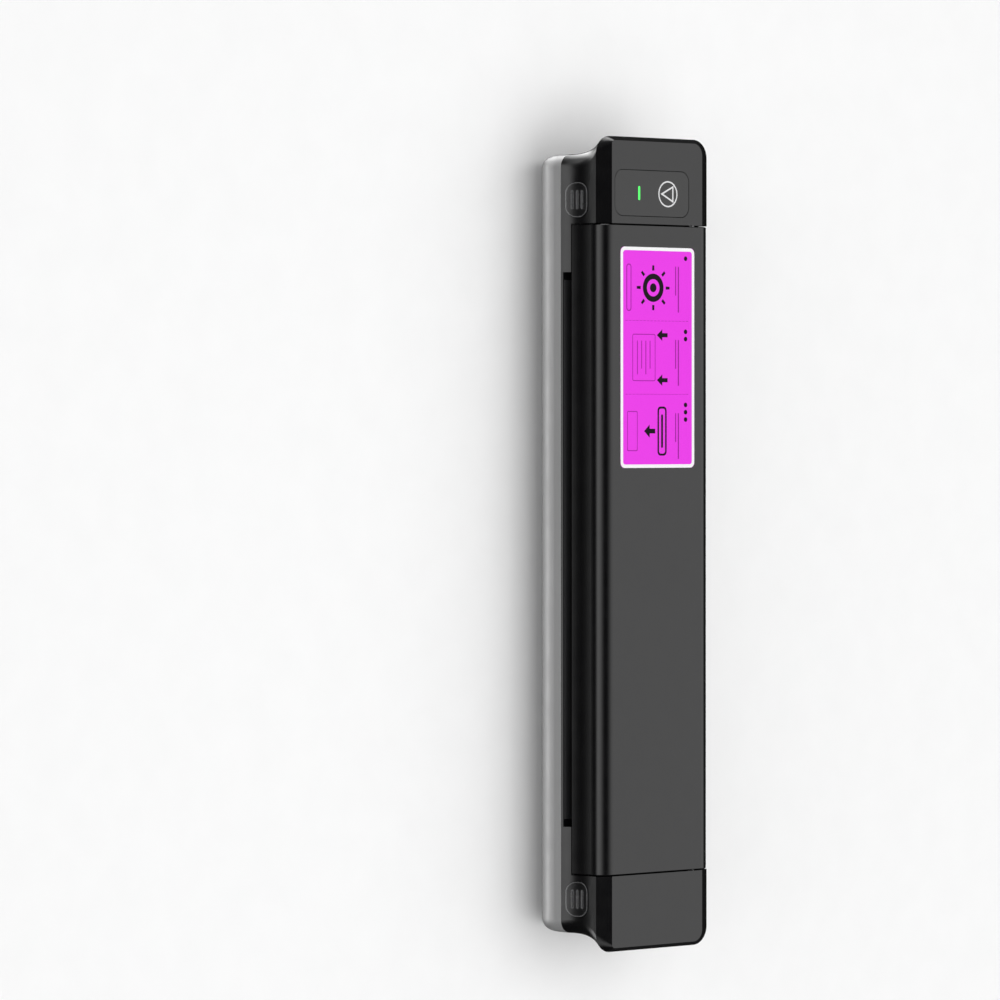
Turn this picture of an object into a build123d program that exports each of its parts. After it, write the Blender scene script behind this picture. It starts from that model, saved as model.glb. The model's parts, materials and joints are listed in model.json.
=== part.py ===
from build123d import *
from math import acos, atan2, cos, degrees, pi, radians, sin, sqrt
import os

# Portable thermal stencil copier for A4 paper: a slim casing with a cover hinged at the back.
# Frame: millimetres, +Z up, +X along the machine from the control end (-X) to the far end,
# -Y is the front with the paper outlet. The origin is at the bottom centre of the casing.

# ---------------------------------------------------------------- driving dimensions
# along the machine, from the middle of the paper outwards
paper_width = 210.0           # A4
slot_clearance = 1.3          # slot longer than the paper, in all
platen_margin = 2.0           # roller beyond the paper at each end
head_margin = 1.0             # print head beyond the roller at each end
guide_setback = 2.95          # slot end to exit guide
bushing_gap = 3.5             # roller to bushing
bushing_length = 3.5
bushing_flange = 1.0          # its rim and its thickness
gear_gap = 1.3                # bushing to platen gear
gear_width = 4.0
gear_room = 0.9               # gear to the end of the cover's inner frame
key_tab_reach = 0.7           # snap tabs of the key beyond its edge
key_tab_gap = 0.25            # tabs to the wall of the cover bay
key_length = 17.5             # along X
key_end_margin = 12.75        # key to the end of the control block
bracket_gap = 1.8             # gears to the drive bracket
bracket_thickness = 1.2
motor_length = 18.0
motor_boss_length = 1.2
motor_end_gap = 1.9           # motor to the end wall
end_overhang = 6.7            # blocks beyond the lower casing at each end

# casing
casing_depth = 62.3           # front lip to back wall
casing_top = 41.0             # flat top above the table
wall = 2.0
seam_z = 22.7                 # parting line of the lower and upper casing
foot_height = 0.8             # casing above the table
front_round = 18.0            # big round under the front lip
back_round = 10.0
base_corner = 5.0             # corners of the lower casing, seen from above
block_corner = 7.0            # corners of the blocks, seen from above, at their widest
flat_front_corner = 1.4       # corners of the flat top
flat_back_corner = 4.5
cove_radius = 20.0            # hollow front of the upper casing
cove_top_z = 35.0             # where the hollow front turns upright
facet_drop = 3.2              # facet round the flat top: height
facet_front = 5.4             # its width at the front and back
facet_end = 1.7               # its width at the two ends
loft_levels = 6

# cover and its bay
cover_gap = 0.4               # cover to end block
cover_round = 6.0             # long edges of the cover; the back one turns about the hinge axis
cover_lip_z = 26.4            # lower front edge of the cover
cover_wall = 2.0
cover_side_wall = 2.4
cover_edge = 0.3              # chamfer of the cover's end edges
bay_wall = 2.0                # walls of the end blocks towards the cover
trough_gap = 0.35             # cover's round back to the trough it turns in
rim_drop = 1.5                # back rim of the trough below the hinge axis
barrel_end = 225.0            # the hinge round goes this far from the top, over the back
barrel_run = 11.75            # hinge axis to where the underside turns up to the round
hinge_pin_radius = 1.5
hinge_pin_length = 7.0
hinge_pin_short = 1.5         # pin shorter than its bore
pin_clearance = 0.05          # radial running clearance of every pin and shaft
seat_gap = 0.1                # parts that sit in a recess

# paper path
strip_z = 23.4                # casing edge under the paper slot, and top of the deck
guide_thickness = 0.5         # paper guides over the deck
slot_height = 2.5             # paper inlet at the back
ledge_gap = 0.3               # casing ledge to cover lip
deck_thickness = 2.0
deck_tongue = 0.3             # deck's lower half to the lower casing's wall
beam_thickness = 2.5          # beam over the paper inlet
exit_seat_inset = 3.15        # front lip to the exit guide's recess
exit_seat_depth = 0.9
guide_lip = 0.1               # exit guide behind the casing's face
guide_lip_round = 0.2
rib_pitch = 17.0              # ribs of the paper guides
rib_width = 0.8
rib_height = 0.25

# platen roller in the cover
platen_y = -8.0
platen_z = 30.6
platen_radius = 6.0
platen_edge = 0.5
shaft_radius = 2.5
shaft_edge = 0.4
shaft_flat = 0.5              # depth of the flat for the gear
shaft_stub = 1.5              # shaft beyond the bushing without a gear
bushing_radius = 4.5
bushing_cover = 1.7           # liner rib over the bushing
roller_gap = 1.2              # liner edges to the roller
roller_end_gap = 0.8
liner_thickness = 1.5
liner_rib = 3.5
liner_rail = 1.5
liner_rail_rise = 3.0
liner_back_inset = 1.5        # liner to the cover's rising underside

# gear train
gear_module = 0.8
platen_teeth = 18
idler_teeth = 20
pinion_teeth = 10
backlash = 0.2
addendum_factor = 0.8
dedendum_factor = 1.15
pressure_angle = 20.0
mesh_slack = 0.12             # added to each centre distance
gear_side_gap = 0.8           # openings round the gears
idler_rim = 1.5               # solid rim and hub of the idler's thinned web
idler_hub = 1.4
web_depth = 1.0
motor_z = 12.4
motor_radius = 9.0
motor_flat = 7.6              # half the height across the motor's flats
motor_edge = 0.6
motor_boss_radius = 2.8
motor_nose_radius = 2.4       # locates the motor in its bracket
motor_shaft_radius = 1.0
idler_stud_radius = 2.0
stud_head = 1.1               # stud's head and shoulder beyond its radius
stud_head_thickness = 0.8
stud_side_gap = 0.2
bracket_top_gap = 0.3         # bracket to the deck
bracket_corner = 4.0
bracket_foot = 9.0            # its foot, under the gears
bracket_foot_corner = 2.5
bracket_margin = 2.0          # bracket beyond the motor
bracket_screw_inset = 3.0
bracket_screw_radius = 1.0
bracket_screw_head = 1.9

# print head
head_gap = 0.3                # print line to platen
head_bar_height = 1.0
head_bar_depth = 10.0
heater_line = 0.15            # height of the glazed heater line
heater_half_width = 0.4
heater_slope = 0.5
head_plate_height = 1.8
head_plate_margin = 1.5       # carrier beyond the bar at the front and back
fin_depth = 1.2
fin_pitch = 3.4
fin_drop = 3.0
fin_count = 3
pivot_web = 3.5               # web from the carrier to its pivot
pivot_boss_radius = 2.6
head_pivot_y = 2.0
head_pivot_z = 18.2
head_pin_radius = 1.5
head_pin_grip = 8.0           # pin inside the carrier
pivot_ear_gap = 2.6           # print head to the ears it hangs from
pivot_ear_thickness = 2.8
pivot_ear_wall = 2.0
opening_front_gap = 2.0       # carrier to the deck opening
opening_back_gap = 2.7
spring_post_x = 60.0          # each side of the middle of the bay
spring_post_half = 4.0
spring_post_reach = 5.0       # each side of the platen's middle
spring_post_top = 9.0
spring_front_reach = 3.0      # leaf spring in front of the platen's middle
spring_back_reach = 4.5
spring_setback = 1.5          # upper leaf shorter than the lower one
spring_width = 6.0
spring_strip = 0.5

# release buttons and latches
button_length = 13.2
button_height = 8.9
button_z = 28.85
button_corner = 4.0
button_proud = 0.4
button_clearance = 0.25
button_side_gap = 0.4         # button to the wall of the cover bay
grip_count = 3                # shallow finger grooves
grip_pitch = 2.0
grip_width = 0.7
grip_depth = 0.3
grip_half_length = 3.4
flange_grow = 0.8
flange_gap = 0.3              # flange to the walls beside it
flange_thickness = 1.0
press_boss_radius = 2.0
press_boss_length = 0.92
press_gap = 0.3
latch_pivot_z = 9.5
latch_pin_radius = 1.5
latch_barrel_wall = 1.6
latch_thickness = 2.0
lever_width = 9.4
lever_rise = 1.15             # lever over the boss that presses it
latch_gap = 0.3               # hook to the catch in the cover
catch_height = 1.6            # catch over the cover's lower edge
catch_depth = 1.3
hook_rise = 0.4               # hook arm over the catch
hook_height = 2.0
hook_side_gap = 0.1
hook_room = 4.0               # inner frame cut back round the hook
notch_run = 6.4               # room behind the hook for its swing
notch_rise = 0.6              # and over it
window_front_gap = 0.2        # window in the block's wall beyond the notch
window_back_gap = 0.6
window_rise = 0.4
ear_thickness = 1.8
ear_depth = 6.0
ear_side_gap = 0.2            # lever to the ear beside it
spring_room = 1.4             # lever to the other ear, with the spring between
latch_spring_wire = 0.35
latch_spring_pitch = 0.4
latch_spring_turns = 2
latch_spring_gap = 0.15

# control panel
key_y = -0.7
key_depth = 38.6              # along Y
key_corner = 4.0
key_gap = 0.15
key_edge = 0.12
key_travel = 0.4
key_tab_width = 6.0
key_tab_thickness = 0.8
key_tab_spread = 11.0         # each side of the key's middle
key_tab_drop = 0.1            # tabs under the casing's top
key_pad_half = 14.0           # thick middle of the key
lamp_offset = -6.7            # from the key's middle, along Y
lamp_length = 5.4
lamp_width = 1.0
key_board_outer = 5.85        # board beyond the key's outer end
key_board_inner = 0.65        # key beyond the board's inner end
key_board_half_depth = 16.2
key_board_thickness = 1.2
key_board_corner = 1.0
key_post_outer = 3.75         # posts beyond the key's outer end
key_post_spread = 14.0
key_post_radius = 1.9
switch_size = 6.0
switch_body_height = 2.5
switch_height = 3.45          # with its plunger
switch_edge = 0.5
plunger_radius = 1.75
plunger_gap = 0.05            # beyond the key's travel
key_lamp_length = 3.2
key_lamp_depth = 1.6
key_lamp_height = 1.1

# power and electronics
cell_radius = 9.0
cell_length = 65.0
cell_gap = 0.3
cell_edge = 0.8
cell_cap_radius = 2.8
cell_cap_height = 1.0
cell_back_gap = 3.75          # cells to the back wall
cradle_rib = 2.0
cradle_top = 11.0
cradle_spread = 22.0          # ribs each side of a cell's middle
board_inset = 4.0             # main board to the end of the lower casing
board_z = 5.0
board_thickness = 1.6
board_length = 70.0
board_front_y = -15.0
board_depth = 20.0
board_post_radius = 2.2
board_post_inset = 2.5        # posts from the board's long edges
board_post_near = 12.0        # and from its two ends
board_post_far = 3.0
chip_sizes = (7.0, 10.0, 5.0)
chip_start = 19.5
chip_pitch = 14.0
chip_height = 1.2
plug_count = 2
plug_size = 4.0
plug_height = 5.5
plug_start = 55.0
plug_pitch = 7.0
usb_width = 8.94
usb_height = 3.26
usb_length = 7.3
usb_setback = 0.3             # socket behind the end of the lower casing
usb_wall = 0.3
usb_rounding = 0.48           # share of its height
usb_tongue_width = 6.6
usb_tongue_height = 0.7
usb_tongue_setback = 0.8
port_gap = 0.25
port_recess = 1.2             # wider recess round the port
port_recess_depth = 0.6
sensor_x = 40.0
sensor_y = 8.0
sensor_length = 4.0
sensor_depth = 3.0
sensor_drop = 0.05
sensor_eye_radius = 0.6
sensor_eye_depth = 0.3

# screws, feet and label
screw_inset = 6.6             # from the ends of the lower casing
screw_front_inset = 10.75     # from the front, at the control end
far_screw_inset = 19.25       # at the far end, clear of the latch
screw_back_inset = 6.85
screw_boss_radius = 3.2
screw_boss_top = 12.0
screw_head_z = 8.0
screw_head_recess = 2.8
screw_head_radius = 2.5
screw_head_height = 1.8
screw_drive_radius = 1.0
screw_hole_radius = 1.7
post_gap = 0.3                # boss of the lower casing to post of the upper one
post_radius = 3.0
pilot_radius = 1.25
pilot_depth = 11.0
screw_grip = 9.0
small_screw_radius = 0.8      # screws of the cover, the key board and the main board
small_screw_head = 1.6
small_screw_head_height = 0.9
small_screw_grip = 5.0
small_hole_gap = 0.2
cover_post_count = 4
cover_post_pitch = 64.0
cover_post_inset = 5.5        # from the liner's back edge
cover_post_radius = 2.6
foot_radius = 5.0
foot_recess = 0.4
foot_edge = 0.25
foot_inset = 20.5             # from the ends of the lower casing
foot_margin = 1.65            # foot to where the casing's underside rounds up
label_length = 84.2
label_width = 38.6
label_inset_x = 8.8           # from the end of the bay
label_inset_y = 4.3           # from the front edge of the flat top
label_thickness = 0.15
label_corner = 2.0

beyond = 1.0                  # how far a cutter reaches past what it cuts

# ---------------------------------------------------------------- worked out from them
# distances from the middle of the paper, and so of the cover bay
slot_length = paper_width + slot_clearance
platen_length = paper_width + 2 * platen_margin
head_length = platen_length + 2 * head_margin
exit_guide_length = slot_length - 2 * guide_setback
bushing_start = platen_length / 2 + bushing_gap
gear_start = bushing_start + bushing_length + bushing_flange + gear_gap
gear_end = gear_start + gear_width
bay_half = gear_end + gear_room + seat_gap + cover_side_wall + cover_gap
cover_half = bay_half - cover_gap
release_middle = bay_half + bay_wall + button_side_gap + button_length / 2
key_middle = bay_half + bay_wall + key_tab_gap + key_tab_reach + key_length / 2
control_end = key_middle + key_length / 2 + key_end_margin
bracket_start = gear_end + bracket_gap
motor_start = bracket_start + bracket_thickness
far_end = motor_start + motor_length + motor_boss_length + motor_end_gap + wall + end_overhang
pivot_ear_start = head_length / 2 + pivot_ear_gap

# along X
casing_length = control_end + far_end
base_half = casing_length / 2 - end_overhang
bay_centre_x = (control_end - far_end) / 2
key_x = bay_centre_x - key_middle
screw_x = base_half - screw_inset
foot_x = base_half - foot_inset
board_start_x = -base_half + board_inset
key_post_x = key_x - key_length / 2 - key_post_outer

# across, and up
front_y = -casing_depth / 2
back_y = casing_depth / 2
facet_z = casing_top - facet_drop
cove_centre_y = front_y - sqrt(cove_radius**2 - (cove_top_z - seam_z)**2)
face_y = cove_centre_y + cove_radius
end_cove_radius = (end_overhang**2 + (facet_z - seam_z)**2) / (2 * end_overhang)
flat_front_y = face_y + facet_front
hinge_y = back_y - cover_round
hinge_z = casing_top - cover_round
ledge_z = cover_lip_z - ledge_gap
guide_z = strip_z + guide_thickness
slot_top_z = guide_z + slot_height
deck_bottom_z = strip_z - deck_thickness
floor_z = foot_height + wall
liner_z = cover_lip_z + liner_thickness
cover_low_y = hinge_y - barrel_run
liner_back_y = cover_low_y - liner_back_inset
cover_post_y = liner_back_y - cover_post_inset
beam_front_y = hinge_y - cover_round - trough_gap
beam_top_z = slot_top_z + beam_thickness
tip_radius = {teeth: gear_module * (teeth / 2 + addendum_factor)
              for teeth in (platen_teeth, idler_teeth, pinion_teeth)}
mesh_distance = gear_module * (platen_teeth + idler_teeth) / 2 + mesh_slack
idler_y = platen_y
idler_z = platen_z - mesh_distance
idler_phase = 90.0 + 180.0 / idler_teeth
pinion_distance = gear_module * (idler_teeth + pinion_teeth) / 2 + mesh_slack
motor_y = idler_y + sqrt(pinion_distance**2 - (motor_z - idler_z)**2)
print_line_z = platen_z - platen_radius - head_gap
head_bar_top = print_line_z - heater_line
head_bar_bottom = head_bar_top - head_bar_height
head_plate_bottom = head_bar_bottom - head_plate_height
head_front_y = platen_y - head_bar_depth / 2 - head_plate_margin
head_back_y = platen_y + head_bar_depth / 2 + head_plate_margin
opening_front_y = head_front_y - opening_front_gap
opening_back_y = head_back_y + opening_back_gap
exit_seat_z = strip_z - exit_seat_depth
exit_seat_front_y = front_y + exit_seat_inset
exit_seat_back_y = opening_front_y - rib_width
flange_front_y = face_y + wall + flange_gap
boss_back_y = flange_front_y + flange_thickness + press_boss_length
lever_front_y = boss_back_y + press_gap
lever_back_y = lever_front_y + latch_thickness
latch_pivot_y = lever_back_y
lever_top_z = button_z + press_boss_radius + lever_rise
catch_y = lever_front_y - latch_gap
catch_top_z = cover_lip_z + catch_height
hook_z = (catch_top_z + hook_rise, catch_top_z + hook_rise + hook_height)
notch_y = (catch_y - catch_depth, lever_front_y + notch_run)
notch_top_z = hook_z[1] + notch_rise
cell_y = back_y - wall - cell_back_gap - cell_radius
cell_z = floor_z + cell_gap + cell_radius
board_top_z = board_z + board_thickness
usb_y = board_front_y + board_depth / 2
usb_z = board_top_z + usb_height / 2
post_bottom_z = screw_boss_top + post_gap
key_tab_top = casing_top - wall - key_tab_drop
key_tab_bottom = key_tab_top - key_tab_thickness
key_board_top = key_tab_bottom - key_travel - plunger_gap - switch_height
lamp_y = key_y + lamp_offset


# ---------------------------------------------------------------- small helpers
def block(x, y, z):
    """A box given by its (low, high) pairs along X, Y and Z."""
    size = Box(x[1] - x[0], y[1] - y[0], z[1] - z[0])
    return Pos((x[0] + x[1]) / 2, (y[0] + y[1]) / 2, (z[0] + z[1]) / 2) * size


def around(middle, half):
    """A (low, high) pair about a middle."""
    return (middle - half, middle + half)


def rod_x(radius, x, y, z):
    """A round bar along X, from x[0] to x[1]."""
    return Pos((x[0] + x[1]) / 2, y, z) * Rot(0, 90, 0) * Cylinder(radius, abs(x[1] - x[0]))


def rod_z(radius, x, y, z0, z1):
    """A round bar along Z."""
    return Pos(x, y, (z0 + z1) / 2) * Cylinder(radius, z1 - z0)


def bar_x(section, x):
    """A section drawn in the Y-Z plane, run along X from x[0] to x[1]."""
    return Pos(x[0], 0, 0) * extrude(section, x[1] - x[0], dir=(1, 0, 0))


def yz_polygon(*points):
    """A polygon in the Y-Z plane."""
    return make_face(Polyline(*[(0, y, z) for y, z in points], close=True).edges())


def group(solids):
    """Separate solids that share one node."""
    return Compound(children=[s.solid() for s in solids])


def fused(solids):
    """Several solids as one part, to add or to cut in one go."""
    return Part() + solids


def bay_x(distance, side=1):
    """X of something at a distance from the middle of the cover bay."""
    return bay_centre_x + side * distance


def bay_span(low, high, side=1):
    """A (low, high) pair along X, measured from the middle of the bay to one side."""
    return tuple(sorted((bay_x(low, side), bay_x(high, side))))


def slot_tool(x, y, z, corner):
    """A cutter along Y with a rounded section."""
    plan = Plane.XZ * RectangleRounded(x[1] - x[0], z[1] - z[0], corner)
    return Pos((x[0] + x[1]) / 2, y[0], (z[0] + z[1]) / 2) * extrude(plan, y[1] - y[0], dir=(0, 1, 0))


# ---------------------------------------------------------------- casing forms
def front_y_at(z, inset=0.0):
    """Front face of the upper casing at a height: upright above, hollow below."""
    if z >= cove_top_z:
        return face_y + inset
    return cove_centre_y + sqrt(cove_radius**2 - (cove_top_z - z)**2) + inset


def half_length_at(z):
    """The ends of the blocks flare out from the seam up to the facet."""
    rise = max(z - seam_z, 0.0)
    return base_half + end_cove_radius - sqrt(end_cove_radius**2 - rise**2)


def outline(half_length, y, z, front_corner, back_corner):
    """Rectangle in plan with its own corner radius at the front and the back."""
    plan = Rectangle(2 * half_length, y[1] - y[0])
    corners = plan.vertices().group_by(Axis.Y)
    plan = fillet(corners[0], front_corner)
    corners = plan.vertices().sort_by(Axis.Y)[-2:]
    return Pos(0, (y[0] + y[1]) / 2, z) * fillet(corners, back_corner)


def block_outline(z, inset):
    """Plan outline of the upper casing at a height."""
    share = (z - seam_z) / (facet_z - seam_z)
    corner = base_corner + share * (block_corner - base_corner) - inset
    return outline(half_length_at(z) - inset, (front_y_at(z, inset), back_y - inset), z, corner, corner)


def flat_outline(z, inset):
    """Plan outline of the flat top inside its facet."""
    y = (flat_front_y + inset, back_y - facet_front - inset)
    return outline(casing_length / 2 - facet_end - inset, y, z, flat_front_corner, flat_back_corner)


def upper_form(inset=0.0):
    """Solid form of the upper casing from the seam to the flat top."""
    step = (facet_z - seam_z) / (loft_levels - 1)
    body = loft([block_outline(seam_z + step * i, inset) for i in range(loft_levels)])
    cap = loft([block_outline(facet_z, inset), flat_outline(casing_top - inset, inset)], ruled=True)
    return body + cap


def lower_form(inset=0.0):
    """Solid form of the lower casing: round front edge, smaller round at the back."""
    y, z = (front_y + inset, back_y - inset), (foot_height + inset, seam_z)
    section = Plane.YZ * Pos((y[0] + y[1]) / 2, (z[0] + z[1]) / 2) * Rectangle(y[1] - y[0], z[1] - z[0])
    bottom = section.vertices().group_by(Axis.Z)[0].sort_by(Axis.Y)
    section = fillet(bottom[0], front_round - inset)
    bottom = section.vertices().group_by(Axis.Z)[0].sort_by(Axis.Y)
    section = fillet(bottom[-1], back_round - inset)
    half = base_half - inset
    form = extrude(section, half, both=True)
    ends = [e for e in form.edges()
            if abs(abs(e.center().X) - half) < 0.01 and e.center().Z < seam_z - 0.01]
    return fillet(ends, base_corner - inset)


# ---------------------------------------------------------------- lower casing
def screw_places():
    low_back = back_y - screw_back_inset
    return [(-screw_x, front_y + screw_front_inset), (-screw_x, low_back),
            (screw_x, front_y + far_screw_inset), (screw_x, low_back)]


def foot_places():
    front = front_y + front_round + foot_margin + foot_radius
    back = back_y - back_round - foot_margin - foot_radius
    return [(x, y) for x in (-foot_x, foot_x) for y in (front, back)]


def cell_spans():
    """X span of each battery cell; they lie end to end."""
    near = cell_gap / 2
    return [bay_span(near, near + cell_length, side) for side in (-1, 1)]


def ear_spans(side):
    """X spans of the two ears that hold a latch, either side of its lever."""
    near = release_middle - lever_width / 2 - spring_room
    far = release_middle + lever_width / 2 + ear_side_gap
    return [bay_span(near - ear_thickness, near, side), bay_span(far, far + ear_thickness, side)]


def board_post_places():
    """Posts of the main board; the two at the back take screws."""
    x = (board_start_x + board_post_near, board_start_x + board_length - board_post_far)
    y = (board_front_y + board_post_inset, board_front_y + board_depth - board_post_inset)
    return [(x[0], y[0]), (x[1], y[0]), (x[0], y[1]), (x[1], y[1])]


def cradle_ribs():
    """Ribs hollowed to the battery cells."""
    ribs = []
    for span in cell_spans():
        for side in (-1, 1):
            x = (span[0] + span[1]) / 2 + side * cradle_spread
            rib = block(around(x, cradle_rib / 2), around(cell_y, cell_radius + wall),
                        (foot_height, cradle_top))
            ribs.append(rib - rod_x(cell_radius + cell_gap, around(x, cradle_rib), cell_y, cell_z))
    return ribs


def lower_ribs():
    """Everything that stands on the floor of the lower casing, before it is trimmed to the floor."""
    ribs = cradle_ribs()
    for x, y in screw_places():
        ribs.append(rod_z(screw_boss_radius, x, y, foot_height, screw_boss_top))
    for x, y in board_post_places():
        ribs.append(rod_z(board_post_radius, x, y, foot_height, board_z))
    for side in (-1, 1):
        for span in ear_spans(side):
            ribs.append(block(span, around(latch_pivot_y, ear_depth / 2),
                              (foot_height, latch_pivot_z + ear_depth / 2)))
        ribs.append(block(around(bay_x(spring_post_x, side), spring_post_half),
                          around(platen_y, spring_post_reach), (foot_height, spring_post_top)))
    return ribs


def port_cuts():
    """Opening for the charging plug, with a wider shallow recess round it."""
    cuts = []
    for grow, depth in ((port_gap, wall + beyond), (port_recess, port_recess_depth)):
        width, height = usb_width + 2 * grow, usb_height + 2 * grow
        port = Plane.YZ * Pos(usb_y, usb_z) * RectangleRounded(width, height, usb_rounding * height)
        cuts.append(bar_x(port, (-base_half - beyond, -base_half + depth)))
    return cuts


def lower_casing():
    shell = lower_form() - lower_form(wall)
    shell += fused(lower_ribs()) & lower_form(wall / 2)
    cuts = port_cuts()
    for x, y in screw_places():
        cuts.append(rod_z(screw_head_recess, x, y, -beyond, screw_head_z))
        cuts.append(rod_z(screw_hole_radius, x, y, 0.0, screw_boss_top + beyond))
    for x, y in board_post_places()[2:]:
        cuts.append(rod_z(small_screw_radius, x, y, floor_z, board_z + beyond))
    for side in (-1, 1):
        near, far = ear_spans(side)
        pin = (min(near[0], far[0]) - beyond / 2, max(near[1], far[1]) + beyond / 2)
        cuts.append(rod_x(latch_pin_radius, pin, latch_pivot_y, latch_pivot_z))
    for x, y in foot_places():
        cuts.append(rod_z(foot_radius + seat_gap, x, y, -beyond, foot_height + foot_recess))
    return shell - fused(cuts)


# ---------------------------------------------------------------- upper casing
def bay_cut():
    """Clears the space of the cover between the blocks, with the trough of its round back."""
    x = bay_span(-bay_half, bay_half)
    above = casing_top + beyond
    front = block(x, (front_y - beyond, beam_front_y), (ledge_z, above))
    back = block(x, (beam_front_y - beyond, back_y + beyond), (hinge_z - rim_drop, above))
    inside = block(x, (beam_front_y - beyond, back_y - wall), (beam_top_z, above))
    return front + back + inside + rod_x(cover_round + trough_gap, x, hinge_y, hinge_z)


def deck():
    """Floor of the bay; its lower half drops inside the lower casing and locates it."""
    x = bay_span(-bay_half - beyond, bay_half + beyond)
    inner = wall + deck_tongue
    plate = block(x, (front_y + inner, back_y - inner), (deck_bottom_z, seam_z + deck_tongue))
    plate += block(x, (front_y + wall / 2, back_y - wall / 2), (seam_z, strip_z))
    head_half = pivot_ear_start
    gear_reach = tip_radius[idler_teeth] + gear_side_gap
    openings = [
        block(bay_span(-head_half, head_half), (opening_front_y, opening_back_y), (0, casing_top)),
        block(bay_span(gear_start - gear_side_gap, gear_end + gear_side_gap),
              around(idler_y, gear_reach), (0, casing_top)),
    ]
    return plate - openings


def head_ear(side):
    """Ear under the deck that holds a pivot pin of the print head."""
    span = bay_span(pivot_ear_start, pivot_ear_start + pivot_ear_thickness, side)
    reach = head_pin_radius + pivot_ear_wall
    ear = block(span, around(head_pivot_y, reach), (head_pivot_z - reach, deck_bottom_z + deck_tongue))
    bore = (span[0] - beyond, span[1] + beyond)
    return ear - rod_x(head_pin_radius, bore, head_pivot_y, head_pivot_z)


def upper_posts():
    """Screw posts, and the two short ones that carry the key board."""
    high = casing_top - wall / 2
    posts = [rod_z(post_radius, x, y, post_bottom_z, high) for x, y in screw_places()]
    posts += [rod_z(key_post_radius, key_post_x, y, key_board_top, high)
              for y in around(key_y, key_post_spread)]
    room = upper_form(wall / 2)
    room += block(around(0, base_half - wall), (front_y + wall, back_y - wall), (0, seam_z + wall / 2))
    return fused(posts) & room


def hinge_beam():
    """Beam over the paper inlet, and the wall behind it that ends in the trough's back rim."""
    x = bay_span(-bay_half, bay_half)
    beam = block(x, (beam_front_y, back_y - wall / 2), (slot_top_z, beam_top_z))
    return beam + block(x, (hinge_y, back_y - wall / 2), (slot_top_z, hinge_z - rim_drop))


def upper_casing():
    outer = upper_form()
    shell = outer - upper_form(wall)
    for side in (-1, 1):
        shell += outer & block(bay_span(bay_half, bay_half + bay_wall, side),
                               (front_y - beyond, back_y + beyond), (seam_z, casing_top + beyond))
    shell = shell + hinge_beam() - bay_cut()
    shell += deck() & (outer + lower_form())
    shell += upper_posts()
    shell += fused([head_ear(side) for side in (-1, 1)])
    return shell - fused(upper_cuts())


def upper_cuts():
    """Slots, windows and holes of the upper casing."""
    slot = bay_span(-slot_length / 2, slot_length / 2)
    guide_half = exit_guide_length / 2 + seat_gap
    cuts = [
        block(slot, (front_y - beyond, exit_seat_front_y + wall), (strip_z, cover_lip_z)),
        block(slot, (back_y - wall - beyond, back_y + beyond), (guide_z, slot_top_z)),
        block(bay_span(-guide_half, guide_half),
              (exit_seat_front_y - seat_gap, exit_seat_back_y + seat_gap), (exit_seat_z, strip_z + beyond)),
        key_plan(key_gap, key_tab_bottom, casing_top + beyond),
    ]
    window_y = (notch_y[0] - window_front_gap, notch_y[1] + window_back_gap)
    for side in (-1, 1):
        span = bay_span(bay_half - beyond, bay_half + bay_wall + beyond, side)
        cuts.append(block(span, window_y, (cover_lip_z, lever_top_z + window_rise)))
        cuts.append(rod_x(hinge_pin_radius, span, hinge_y, hinge_z))
        cuts.append(button_form(side, button_clearance, (front_y - beyond, face_y + wall + beyond)))
    for x, y in screw_places():
        cuts.append(rod_z(pilot_radius, x, y, post_bottom_z - beyond, post_bottom_z + pilot_depth))
    for y in around(key_y, key_post_spread):
        cuts.append(rod_z(small_screw_radius, key_post_x, y, key_board_top - beyond,
                          key_board_top + small_screw_grip / 2))
    return cuts


def button_form(side, grow, y):
    """The release button's rounded outline, run along Y."""
    return slot_tool(around(bay_x(release_middle, side), button_length / 2 + grow), y,
                     around(button_z, button_height / 2 + grow), button_corner + grow)


def key_plan(grow, z0, z1):
    """The key panel's rounded outline, run along Z."""
    plan = RectangleRounded(key_length + 2 * grow, key_depth + 2 * grow, key_corner + grow)
    return Pos(key_x, key_y, z0) * extrude(plan, z1 - z0)


# ---------------------------------------------------------------- cover
def cover_section(inset=0.0):
    """Closed section of the cover: hollow front, two rounds, and a full round at the hinge."""
    def point(y, z):
        return (0, y, z)

    def on_round(y, z, angle):
        """Point of a round, at an angle from straight up towards the back."""
        turn = radians(angle)
        return point(y + radius * sin(turn), z + radius * cos(turn))

    radius = cover_round - inset
    lip_z = cover_lip_z + inset
    bend = (cove_top_z + lip_z) / 2
    front_round_y = face_y + cover_round
    lip = point(front_y_at(lip_z, inset), lip_z)
    low = point(cover_low_y - inset, lip_z)
    edges = [
        ThreePointArc(lip, point(front_y_at(bend, inset), bend), point(face_y + inset, cove_top_z)),
        ThreePointArc(point(face_y + inset, cove_top_z), on_round(front_round_y, hinge_z, -45.0),
                      on_round(front_round_y, hinge_z, 0.0)),
        Line(on_round(front_round_y, hinge_z, 0.0), on_round(hinge_y, hinge_z, 0.0)),
        ThreePointArc(on_round(hinge_y, hinge_z, 0.0), on_round(hinge_y, hinge_z, barrel_end / 2),
                      on_round(hinge_y, hinge_z, barrel_end)),
        Line(on_round(hinge_y, hinge_z, barrel_end), low),
        Line(low, lip),
    ]
    return make_face(edges)


def cover_posts():
    """X of each screw post that holds the inner frame."""
    first = -(cover_post_count - 1) / 2
    return [bay_x((first + i) * cover_post_pitch) for i in range(cover_post_count)]


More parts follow.
